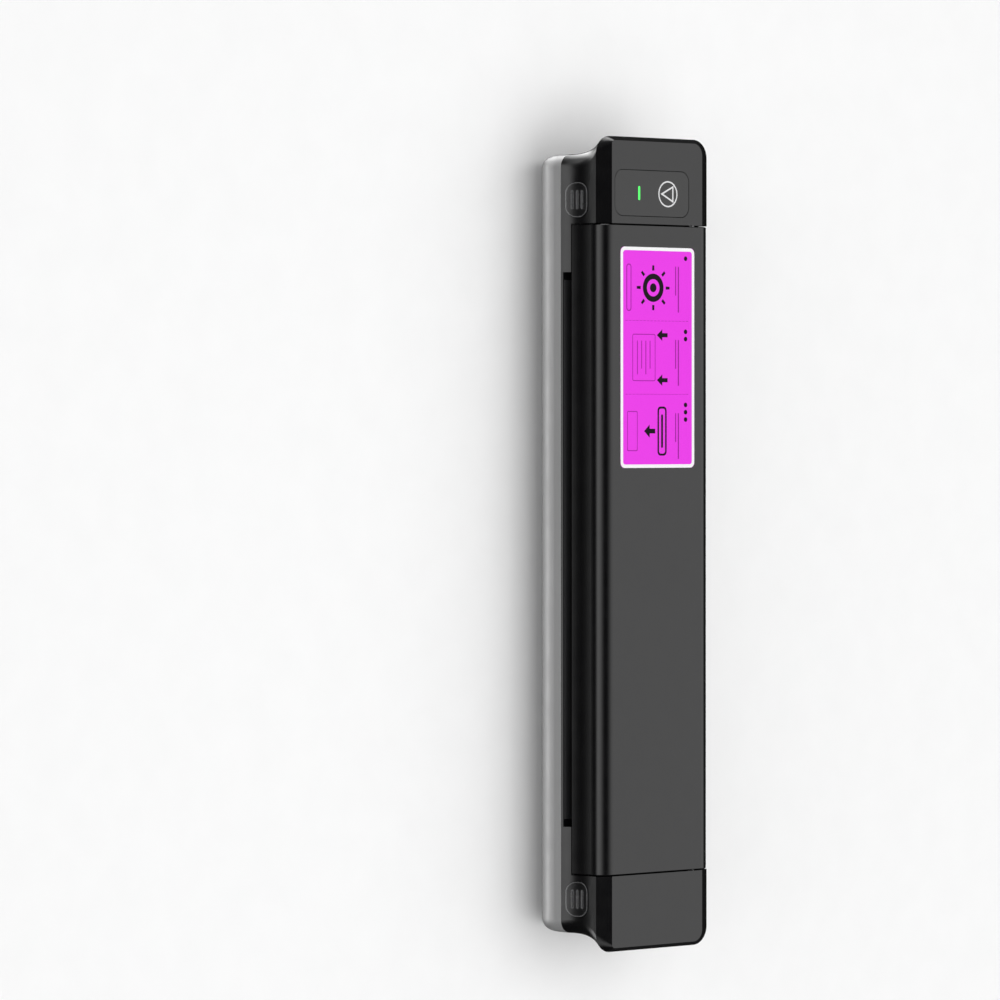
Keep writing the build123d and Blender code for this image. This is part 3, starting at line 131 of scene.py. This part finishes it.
RAY_CORNERS = ((6.6, -0.09), (8.6, -0.06), (8.6, 0.06), (6.6, 0.09))  # radius, angle off the ray
PRESS_FIELD = (-9.0, 3.0, 9.0, 5.6)   # bottom and top from the label's front edge
PRESS_FIELD_EDGE = (0.4, 1.2, 0.8)
SHEET_PLACE = (0.5, 0.34)
SHEET = (-9.0, -7.0, 9.0, 5.0)
SHEET_EDGE = (0.3, 0.8, 0.5)
SHEET_LINE = (-6.4, -4.6, 6.4, -4.2)  # the lowest of its lines
SHEET_LINES = 4
SHEET_LINE_PITCH = 2.2        # every other line is as much shorter
SHEET_ARROW = (5.6, 4.4)      # length and width
SHEET_ARROW_TAIL = (8.6, 11.4)  # to either side of the sheet's middle, and behind it
EXIT_PLACE = (0.5, 0.56)
EXIT_SLOT = (-9.4, -2.4, 9.4, 2.4)
EXIT_SLOT_EDGE = (0.8, 1.6, 1.0)
EXIT_MOUTH = (-6.4, -0.5, 6.4, 0.5)
EXIT_MOUTH_CORNER = 0.45
EXIT_ARROW = (5.8, 5.0)
EXIT_ARROW_TAIL = 3.6         # in front of the slot's middle
EXIT_FIELD = (-7.6, 3.4, 7.6, 8.8)    # bottom and top from the label's front edge
EXIT_FIELD_EDGE = (0.3, 0.6, 0.4)
ARROW_STEM = 0.18             # half the stem's width, as a share of the arrow's
ARROW_HEAD = 0.5              # where the head starts, as a share of the length
TOWARDS_FRONT = (0, -1)

# studio: the gloss mirrors the sky, and the softbox lights what is matt
SOFTBOX_SIZE = 2.4
SOFTBOX_HEIGHT = 2.0
SOFTBOX_WATTS = 22.0
FLOOR_SIZE = 8.0
SKY_PEAK = 6.0                # radiance that a ramp's full value stands for
# degrees from straight up towards the front, radiance
SKY_ACROSS = [
    (-180, 0.6), (-166, 0.5), (-152, 0.02), (-76, 0.02), (-64, 1.42), (-30, 1.62), (-21, 1.2),
    (-13, 0.85), (-5, 0.5), (3, 0.18), (10, 0.02), (27, 0.01), (35, 0.16), (43, 0.55),
    (51, 1.15), (59, 1.6), (67, 2.0), (77, 2.1), (85, 1.4), (90, 0.5), (95, 0.1),
    (108, 0.03), (114, 0.05), (122, 0.13), (128, 0.22), (134, 0.36), (138, 0.7), (144, 1.0),
    (152, 4.0), (168, 4.8), (177, 0.8),
]
# height of the direction, radiance past the control end and past the far end
SKY_CONTROL_END = [(-0.3, 6.0), (0.2, 3.0), (0.32, 0.6), (0.6, 0.35)]
SKY_FAR_END = [(0.35, 0.03), (0.65, 1.1)]
# direction along Y, how much of the light past the control end is left
SKY_BREADTH = [(-0.5, 0.25), (-0.12, 1.0), (0.3, 1.0), (0.55, 0.01)]
# direction along X, how far each end's light takes over
CONTROL_END_SHARE = [(-0.50, 1.0), (-0.28, 0.0)]
FAR_END_SHARE = [(0.15, 0.0), (0.42, 1.0)]


# ------------------------------------------------------------------------- node helpers
def scaled(value, factor):
    """A colour or a level times a factor, at most 1."""
    if isinstance(value, tuple):
        return tuple(min(1.0, part * factor) for part in value)
    return min(1.0, value * factor)


class Graph:
    """A node tree with short calls, for a material or the world."""

    def __init__(self, tree):
        self.tree = tree
        tree.nodes.clear()

    def new(self, kind, **settings):
        node = self.tree.nodes.new(kind)
        for name, value in settings.items():
            setattr(node, name, value)
        return node

    def give(self, socket, value):
        """Set a socket to a number, or link it to another node's output."""
        if isinstance(value, (int, float)):
            socket.default_value = value
        else:
            self.tree.links.new(value, socket)

    def ramp(self, source, stops):
        """stops: (position, colour or grey) pairs, 32 at most."""
        node = self.new("ShaderNodeValToRGB")
        elements = node.color_ramp.elements
        while len(elements) < len(stops):
            elements.new(0.5)
        for element, (position, value) in zip(elements, stops):
            colour = value if isinstance(value, tuple) else (value, value, value)
            element.position = position
            element.color = (*colour, 1)
        self.give(node.inputs["Fac"], source)
        return node.outputs["Color"]

    def math(self, operation, first, second):
        node = self.new("ShaderNodeMath", operation=operation)
        self.give(node.inputs[0], first)
        self.give(node.inputs[1], second)
        return node.outputs[0]

    def mix(self, factor, first, second, blend_type="MIX"):
        node = self.new("ShaderNodeMix", data_type="RGBA", blend_type=blend_type)
        self.give(node.inputs["Factor"], factor)
        self.give(node.inputs["A"], first)
        self.give(node.inputs["B"], second)
        return node.outputs["Result"]


class Finish(Graph):
    """A material's tree, with what the finishes below share."""

    def __init__(self, name, **settings):
        self.material = bpy.data.materials.new(name)
        self.material.use_nodes = True
        super().__init__(self.material.node_tree)
        self.shader = self.new("ShaderNodeBsdfPrincipled")
        output = self.new("ShaderNodeOutputMaterial")
        self.give(output.inputs["Surface"], self.shader.outputs["BSDF"])
        self.place = self.new("ShaderNodeTexCoord").outputs["Object"]
        for setting, value in settings.items():
            self.shader.inputs[setting.replace("_", " ")].default_value = value

    def noise(self, scale, detail=2.0, stretch=(1, 1, 1)):
        """Noise in metres of the part's own frame; scale is features per metre."""
        mapping = self.new("ShaderNodeMapping")
        mapping.inputs["Scale"].default_value = stretch
        texture = self.new("ShaderNodeTexNoise")
        texture.inputs["Scale"].default_value = scale
        texture.inputs["Detail"].default_value = detail
        self.give(mapping.inputs["Vector"], self.place)
        self.give(texture.inputs["Vector"], mapping.outputs["Vector"])
        return texture.outputs["Fac"]

    def vary(self, socket, source, value, low, high, start=0.3, end=0.7):
        """Let an input run from low to high times its value as the source rises."""
        stops = [(start, scaled(value, low)), (end, scaled(value, high))]
        self.give(self.shader.inputs[socket], self.ramp(source, stops))

    def bump(self, height, strength, depth_mm):
        node = self.new("ShaderNodeBump")
        node.inputs["Strength"].default_value = strength
        node.inputs["Distance"].default_value = depth_mm * MM
        self.give(node.inputs["Height"], height)
        self.give(self.shader.inputs["Normal"], node.outputs["Normal"])


# ----------------------------------------------------------------------------- finishes
def moulded(name, colour, rough, grain=9000.0, grain_depth=0.004, mottle=0.12):
    """Moulded plastic: fine mould grain, faint flow mottle, uneven gloss."""
    finish = Finish(name, IOR=1.5)
    flow = finish.noise(FLOW, 3.0, (0.35, 1, 1))
    finish.vary("Base Color", flow, colour, 1 - mottle, 1 + mottle)
    finish.vary("Roughness", finish.noise(HANDLING, 4.0), rough, 0.9, 1.12, 0.35, 0.65)
    finish.bump(finish.noise(grain), 0.35, grain_depth)
    return finish.material


def metal(name, colour, rough, brush=(1, 60, 60)):
    """Drawn, turned or plated metal with marks along one direction."""
    finish = Finish(name, Metallic=1.0)
    marks = finish.noise(METAL_MARKS, 3.0, brush)
    finish.vary("Base Color", marks, colour, 0.86, 1.08)
    finish.vary("Roughness", marks, rough, 0.8, 1.25)
    finish.bump(marks, 0.3, 0.004)
    return finish.material


def painted_edge_highlight(name, colour, edge, rough, width):
    """Moulded plastic with a painted highlight: the colour turns paler within a width of its edges and
    ribs, where the rounded rim would catch the light.
    """
    finish = Finish(name, IOR=1.5)
    rounded_off = finish.new("ShaderNodeBevel")
    rounded_off.inputs["Radius"].default_value = width
    turned = finish.new("ShaderNodeVectorMath", operation="DOT_PRODUCT")
    finish.give(turned.inputs[0], rounded_off.outputs["Normal"])
    finish.give(turned.inputs[1], finish.new("ShaderNodeNewGeometry").outputs["Normal"])
    # painted highlight: where the rounded-off normal turns away from the face's own normal, the colour
    # runs to the pale edge colour
    rim_highlight_paint = finish.ramp(turned.outputs["Value"], [(0.86, edge), (0.985, colour)])
    finish.give(finish.shader.inputs["Base Color"], rim_highlight_paint)
    finish.vary("Roughness", finish.noise(HANDLING, 4.0), rough, 0.9, 1.12, 0.35, 0.65)
    return finish.material


def ink(name, colour, rough):
    """Screen-printed ink: nearly flat, with slightly uneven cover."""
    finish = Finish(name, IOR=1.45, Specular_IOR_Level=0.1)
    cover = finish.noise(INK_COVER, 3.0)
    finish.vary("Base Color", cover, colour, 0.94, 1.03, 0.35, 0.65)
    finish.vary("Roughness", cover, rough, 0.85, 1.15)
    finish.bump(cover, 0.2, 0.002)
    return finish.material


def glowing(name, colour):
    """Lit light pipe, frosted."""
    finish = Finish(name, Emission_Strength=1.0, Roughness=0.3, IOR=1.49)
    frost = finish.noise(FROST)
    finish.vary("Base Color", frost, colour, 0.5, 0.65)
    finish.vary("Emission Color", frost, colour, 0.92, 1.0, 0.2, 0.8)
    finish.bump(frost, 0.2, 0.003)
    return finish.material


def rubber(name, colour, rough):
    """Ground rubber."""
    finish = Finish(name, IOR=1.45, Specular_IOR_Level=0.35)
    ground = finish.noise(GROUND_RUBBER, 4.0, (1, 0.25, 0.25))
    finish.vary("Base Color", ground, colour, 0.8, 1.4, 0.3, 0.75)
    finish.vary("Roughness", ground, rough, 0.9, 1.1)
    finish.bump(ground, 0.5, 0.01)
    return finish.material


def circuit(name):
    """Green solder mask with the faint relief of tracks under it."""
    finish = Finish(name, IOR=1.5)
    grid = finish.new("ShaderNodeTexVoronoi", distance="MANHATTAN")
    grid.inputs["Scale"].default_value = TRACKS
    finish.give(grid.inputs["Vector"], finish.place)
    relief = grid.outputs["Distance"]
    mask = finish.ramp(relief, [(0.28, MASK_GREEN), (0.36, TRACK_GREEN)])
    gloss = finish.ramp(finish.noise(MASK_GLOSS), [(0.3, 0.28), (0.7, 0.4)])
    finish.give(finish.shader.inputs["Base Color"], mask)
    finish.give(finish.shader.inputs["Roughness"], gloss)
    finish.bump(relief, 0.2, 0.02)
    return finish.material


def finishes():
    """One finish for each of the record's material slots."""
    return {
        "casing_plastic": moulded("casing gloss", BLACK, 0.20),
        "cover_plastic": moulded("cover gloss", BLACK, 0.20),
        "lower_plastic": moulded("base satin", BASE_GREY, 0.34, 14000.0, 0.002, 0.03),
        "inner_plastic": moulded("inner matt", INNER_BLACK, 0.55, 4200.0, 0.03),
        "key_plastic": moulded("key gloss", KEY_BLACK, 0.19),
        # the button finish carries a painted rim highlight on its edges and ribs
        "button_plastic": painted_edge_highlight("button satin painted rim highlight", BUTTON_BLACK, BUTTON_RIM_HIGHLIGHT, 0.26, 0.7 * MM),
        "label_film": ink("label magenta", MAGENTA, 0.42),
        "lamp_green": glowing("lamp green", LAMP_GREEN),
        "roller_rubber": rubber("roller rubber", (0.020, 0.020, 0.021), 0.62),
        "foot_rubber": rubber("foot rubber", (0.014, 0.014, 0.014), 0.75),
        "steel": metal("turned steel", (0.56, 0.56, 0.57), 0.28),
        "spring_steel": metal("spring steel", (0.42, 0.42, 0.44), 0.3),
        "aluminium": metal("extruded aluminium", (0.72, 0.73, 0.75), 0.34, (0.5, 60, 60)),
        "ceramic": ink("glazed ceramic", (0.70, 0.68, 0.62), 0.18),
        "gear_plastic": moulded("acetal gear", (0.72, 0.70, 0.64), 0.42, mottle=0.03),
        "bushing_plastic": moulded("acetal bushing", (0.62, 0.58, 0.48), 0.45, mottle=0.03),
        "motor_steel": metal("plated can", (0.50, 0.50, 0.52), 0.3, (60, 1, 1)),
        "circuit_board": circuit("solder mask"),
        "chip_plastic": moulded("chip epoxy", (0.014, 0.014, 0.015), 0.5, 6000.0, 0.01),
        "socket_steel": metal("socket shell", (0.62, 0.62, 0.63), 0.22),
        "cell_wrap": moulded("cell wrap", (0.02, 0.10, 0.30), 0.3),
        "switch_plastic": moulded("switch body", (0.03, 0.03, 0.03), 0.5),
    }


def dress():
    """Give each CAD node the finish of its material slot."""
    by_slot = finishes()
    for entry in frame["record"]["subparts"]:
        node = frame["nodes"][entry["node"]]
        node.data.materials.clear()
        node.data.materials.append(by_slot[entry["material_slot"]])


# -------------------------------------------------------------------------- flat artwork
def rounded(x0, y0, x1, y1, radius, steps=6):
    """Corner-rounded rectangle as points, anticlockwise."""
    points = []
    for cx, cy, start in ((x1 - radius, y1 - radius, 0), (x0 + radius, y1 - radius, 90),
                          (x0 + radius, y0 + radius, 180), (x1 - radius, y0 + radius, 270)):
        for step in range(steps + 1):
            angle = radians(start + 90 * step / steps)
            points.append((cx + radius * cos(angle), cy + radius * sin(angle)))
    return points


def disc(x, y, radius, steps=48):
    angles = [2 * pi * step / steps for step in range(steps)]
    return [(x + radius * cos(angle), y + radius * sin(angle)) for angle in angles]


def bar(x0, y0, x1, y1):
    return [(x0, y0), (x1, y0), (x1, y1), (x0, y1)]


def moved(box, x, y):
    x0, y0, x1, y1 = box
    return x + x0, y + y0, x + x1, y + y1


def arrow(x, y, length, width, towards):
    """Solid arrow whose tail is at (x, y); towards is a unit direction along X or Y."""
    tx, ty = towards
    nx, ny = -ty, tx
    stem, head = width * ARROW_STEM, length * ARROW_HEAD
    outline = ((0, stem), (head, stem), (head, width / 2), (length, 0),
               (head, -width / 2), (head, -stem), (0, -stem))
    return [(x + a * tx + b * nx, y + a * ty + b * ny) for a, b in outline]


class Print:
    """One layer of ink at one height: plain shapes and hollow frames, in millimetres."""

    def __init__(self, z):
        self.mesh = bmesh.new()
        self.z = z

    def corners(self, points):
        return [self.mesh.verts.new((x * MM, y * MM, self.z * MM)) for x, y in points]

    def fill(self, points):
        self.mesh.faces.new(self.corners(points))

    def frame(self, outer, inner):
        """Band between two outlines with the same number of points."""
        outer, inner = self.corners(outer), self.corners(inner)
        for i in range(len(outer)):
            j = (i + 1) % len(outer)
            self.mesh.faces.new((outer[i], outer[j], inner[j], inner[i]))

    def line_round(self, box, edge):
        """Line inside the edge of a box."""
        x0, y0, x1, y1 = box
        width, outer, inner = edge
        self.frame(rounded(x0, y0, x1, y1, outer),
                   rounded(x0 + width, y0 + width, x1 - width, y1 - width, inner))

    def done(self, name, material, slot, body):
        bmesh.ops.recalc_face_normals(self.mesh, faces=self.mesh.faces[:])
        data = bpy.data.meshes.new(name)
        self.mesh.to_mesh(data)
        self.mesh.free()
        data.materials.append(material)
        piece = bpy.data.objects.new(name, data)
        bpy.context.scene.collection.objects.link(piece)
        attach(piece, body)


def box_mm(node):
    low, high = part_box(node)
    return [v / MM for v in low], [v / MM for v in high]


def fold_lines(faint, x0, y0, panel, across):
    """Dashed lines between the panels."""
    run = across - 2 * MARGIN - 2 * DASH_LENGTH
    for k in range(1, PANELS):
        x = x0 + panel * k
        for step in range(FOLD_DASHES):
            y = y0 + MARGIN + DASH_LENGTH + step * run / FOLD_DASHES
            faint.fill(bar(x - DASH_HALF_WIDTH, y, x + DASH_HALF_WIDTH, y + DASH_LENGTH))


def captions(faint, x0, y1, panel):
    """Two thin lines in place of each step's words."""
    for k in range(PANELS):
        left, high = x0 + panel * k + PANEL_INSET, y1 - CAPTION_DROP
        for right, bottom, top in CAPTIONS:
            faint.fill(bar(left + CAPTION_INDENT, high + bottom, left + right, high + top))


def step_dots(art, x0, y1, panel):
    """One, two and three dots number the panels."""
    for k in range(PANELS):
        left, high = x0 + panel * k + PANEL_INSET, y1 - DOT_DROP
        for dot in range(k + 1):
            art.fill(disc(left + DOT_INSET + DOT_PITCH * dot, high, DOT_RADIUS, 20))


def press_sign(art, faint, x, y, front):
    """Press the key: a ring with a dot and rays, over an empty field."""
    outer, inner = PRESS_RADII
    art.frame(disc(x, y, outer), disc(x, y, inner))
    art.fill(disc(x, y, PRESS_DOT))
    for i in range(RAYS):
        angle = 2 * pi * i / RAYS
        art.fill([(x + radius * cos(angle + off), y + radius * sin(angle + off))
                  for radius, off in RAY_CORNERS])
    faint.line_round(moved(PRESS_FIELD, x, front), PRESS_FIELD_EDGE)


def sheet_sign(art, faint, x, y):
    """A sheet goes in: a lined page between two arrows."""
    faint.line_round(moved(SHEET, x, y), SHEET_EDGE)
    for row in range(SHEET_LINES):
        left, low, right, high = moved(SHEET_LINE, x, y + row * SHEET_LINE_PITCH)
        faint.fill(bar(left, low, right - SHEET_LINE_PITCH * (row % 2), high))
    aside, behind = SHEET_ARROW_TAIL
    for side in (-aside, aside):
        art.fill(arrow(x + side, y + behind, *SHEET_ARROW, TOWARDS_FRONT))


def exit_sign(art, faint, x, y, front):
    """The copy comes out: a slot, an arrow and an empty field."""
    art.line_round(moved(EXIT_SLOT, x, y), EXIT_SLOT_EDGE)
    art.fill(rounded(*moved(EXIT_MOUTH, x, y), EXIT_MOUTH_CORNER))
    art.fill(arrow(x, y - EXIT_ARROW_TAIL, *EXIT_ARROW, TOWARDS_FRONT))
    faint.line_round(moved(EXIT_FIELD, x, front), EXIT_FIELD_EDGE)


def label_art():
    """White margin, and three steps told by plain pictograms with no words."""
    (x0, y0, _), (x1, y1, top) = box_mm("instruction_label")
    panel, across = (x1 - x0) / PANELS, y1 - y0
    border, faint, art = (Print(top + LABEL_LIFT) for _ in range(3))

    def place(number, shares):
        return x0 + panel * (number - 1 + shares[0]), y0 + across * shares[1]

    border.line_round((x0, y0, x1, y1), MARGIN_EDGE)
    fold_lines(faint, x0, y0, panel, across)
    captions(faint, x0, y1, panel)
    step_dots(art, x0, y1, panel)
    press_sign(art, faint, *place(1, PRESS_PLACE), y0)
    sheet_sign(art, faint, *place(2, SHEET_PLACE))
    exit_sign(art, faint, *place(3, EXIT_PLACE), y0)

    border.done("label_margin", ink("label white", WHITE_INK, 0.45), "label_film", "cover")
    faint.done("label_faint", ink("label faint", FAINT_INK, 0.45), "label_film", "cover")
    art.done("label_ink", ink("label dark", LABEL_INK, 0.45), "label_film", "cover")


def key_symbol():
    """Thin ring round a hollow triangle, the usual sign for feeding paper."""
    (x0, _, _), (x1, y1, top) = box_mm("feed_key")
    cx, cy = (x0 + x1) / 2, y1 - SYMBOL_FROM_BACK
    symbol = Print(top + SYMBOL_LIFT)
    symbol.frame(disc(cx, cy, SYMBOL_RADIUS, 72), disc(cx, cy, SYMBOL_RADIUS - SYMBOL_LINE, 72))
    outer = [(cx + x, cy + y) for x, y in TRIANGLE]
    heart = cy + TRIANGLE_HEART
    inner = [(cx + (x - cx) * TRIANGLE_HOLE, heart + (y - heart) * TRIANGLE_HOLE) for x, y in outer]
    symbol.frame(outer, inner)
    symbol.done("key_symbol", ink("symbol ink", SYMBOL_INK, 0.4), "key_plastic", "feed_key")


# -------------------------------------------------------------------------------- studio
def studio_light():
    """Sky of long soft bands that the gloss mirrors; the camera sees plain white instead."""
    world = bpy.data.worlds.new("studio")
    bpy.context.scene.world = world
    world.use_nodes = True
    graph = Graph(world.node_tree)
    direction = graph.new("ShaderNodeSeparateXYZ")
    graph.give(direction.inputs[0], graph.new("ShaderNodeTexCoord").outputs["Generated"])
    x, y, z = direction.outputs

    def along(component, stops, peak=1.0):
        """Ramp over one component of the direction, which runs from -1 to 1."""
        halved = graph.math("ADD", graph.math("MULTIPLY", component, 0.5), 0.5)
        return graph.ramp(halved, [(0.5 + position / 2, value / peak) for position, value in stops])

    # angle from straight up, towards the front, as 0..1 over the whole turn
    angle = graph.math("ARCTAN2", graph.math("MULTIPLY", y, -1.0), z)
    turn = graph.math("ADD", graph.math("DIVIDE", angle, 2 * pi), 0.5)
    across = graph.ramp(turn, [(0.5 + degrees / 360, value / SKY_PEAK) for degrees, value in SKY_ACROSS])

    far_end = along(z, SKY_FAR_END, SKY_PEAK)
    control_end = graph.mix(1.0, along(z, SKY_CONTROL_END, SKY_PEAK), along(y, SKY_BREADTH), "MULTIPLY")
    sky = graph.mix(along(x, FAR_END_SHARE), across, far_end)
    sky = graph.mix(along(x, CONTROL_END_SHARE), sky, control_end)

    lit, seen = graph.new("ShaderNodeBackground"), graph.new("ShaderNodeBackground")
    lit.inputs["Strength"].default_value = SKY_PEAK
    graph.give(lit.inputs["Color"], sky)
    seen.inputs["Color"].default_value = (1, 1, 1, 1)
    choose = graph.new("ShaderNodeMixShader")
    graph.give(choose.inputs["Fac"], graph.new("ShaderNodeLightPath").outputs["Is Camera Ray"])
    graph.give(choose.inputs[1], lit.outputs[0])
    graph.give(choose.inputs[2], seen.outputs[0])
    graph.give(graph.new("ShaderNodeOutputWorld").inputs["Surface"], choose.outputs[0])


def softbox():
    """Wide lamp overhead for the matt surfaces; the gloss sees only the sky."""
    data = bpy.data.lights.new("softbox", "AREA")
    data.shape = "SQUARE"
    data.size = SOFTBOX_SIZE
    data.energy = SOFTBOX_WATTS
    lamp = bpy.data.objects.new("softbox", data)
    lamp.location = (0, 0, SOFTBOX_HEIGHT)
    lamp.visible_camera = False
    lamp.visible_glossy = False
    bpy.context.scene.collection.objects.link(lamp)


def floor():
    """White paper that takes the shadow and isn't mirrored in the gloss."""
    bpy.ops.mesh.primitive_plane_add(size=FLOOR_SIZE, location=(0, 0, 0))
    plane = bpy.context.object
    plane.name = "floor"
    plane.visible_glossy = False
    finish = Finish("floor paper", Roughness=0.9, Specular_IOR_Level=0.1)
    paper = finish.ramp(finish.noise(PAPER_CLOUDS, 3.0), [(0.3, PAPER[0]), (0.7, PAPER[1])])
    finish.give(finish.shader.inputs["Base Color"], paper)
    plane.data.materials.append(finish.material)


def camera():
    """Far camera over the front; the length of the part runs up the image."""
    low, high = cad_bounds
    middle = Vector((0, 0, (low.z + high.z) / 2))
    tilt = radians(CAMERA_TILT)
    away = Vector((CAMERA_X / CAMERA_DISTANCE, -sin(tilt), cos(tilt))).normalized()
    up = away.cross(Vector((0, cos(tilt), sin(tilt)))).normalized()
    right = up.cross(away).normalized()
    spot = middle + away * CAMERA_DISTANCE

    # the camera turns off the object's middle, so that this falls on its pixel
    metres_per_pixel = CAMERA_DISTANCE / FOCAL_PIXELS
    aside, down = (pixel - IMAGE_SIZE / 2 for pixel in OBJECT_PIXEL)
    aim = middle - right * (aside * metres_per_pixel) + up * (down * metres_per_pixel)
    back = (spot - aim).normalized()
    side = up.cross(back).normalized()
    top = back.cross(side).normalized()

    data = bpy.data.cameras.new("camera")
    data.sensor_width = SENSOR_MM
    data.lens = FOCAL_PIXELS * SENSOR_MM / IMAGE_SIZE
    data.clip_start, data.clip_end = CAMERA_CLIP
    view = bpy.data.objects.new("camera", data)
    view.matrix_world = Matrix.Translation(spot) @ Matrix((side, top, back)).transposed().to_4x4()
    bpy.context.scene.collection.objects.link(view)
    bpy.context.scene.camera = view


dress()
label_art()
key_symbol()
studio_light()
softbox()
floor()
camera()

bpy.context.scene.view_settings.view_transform = "Standard"
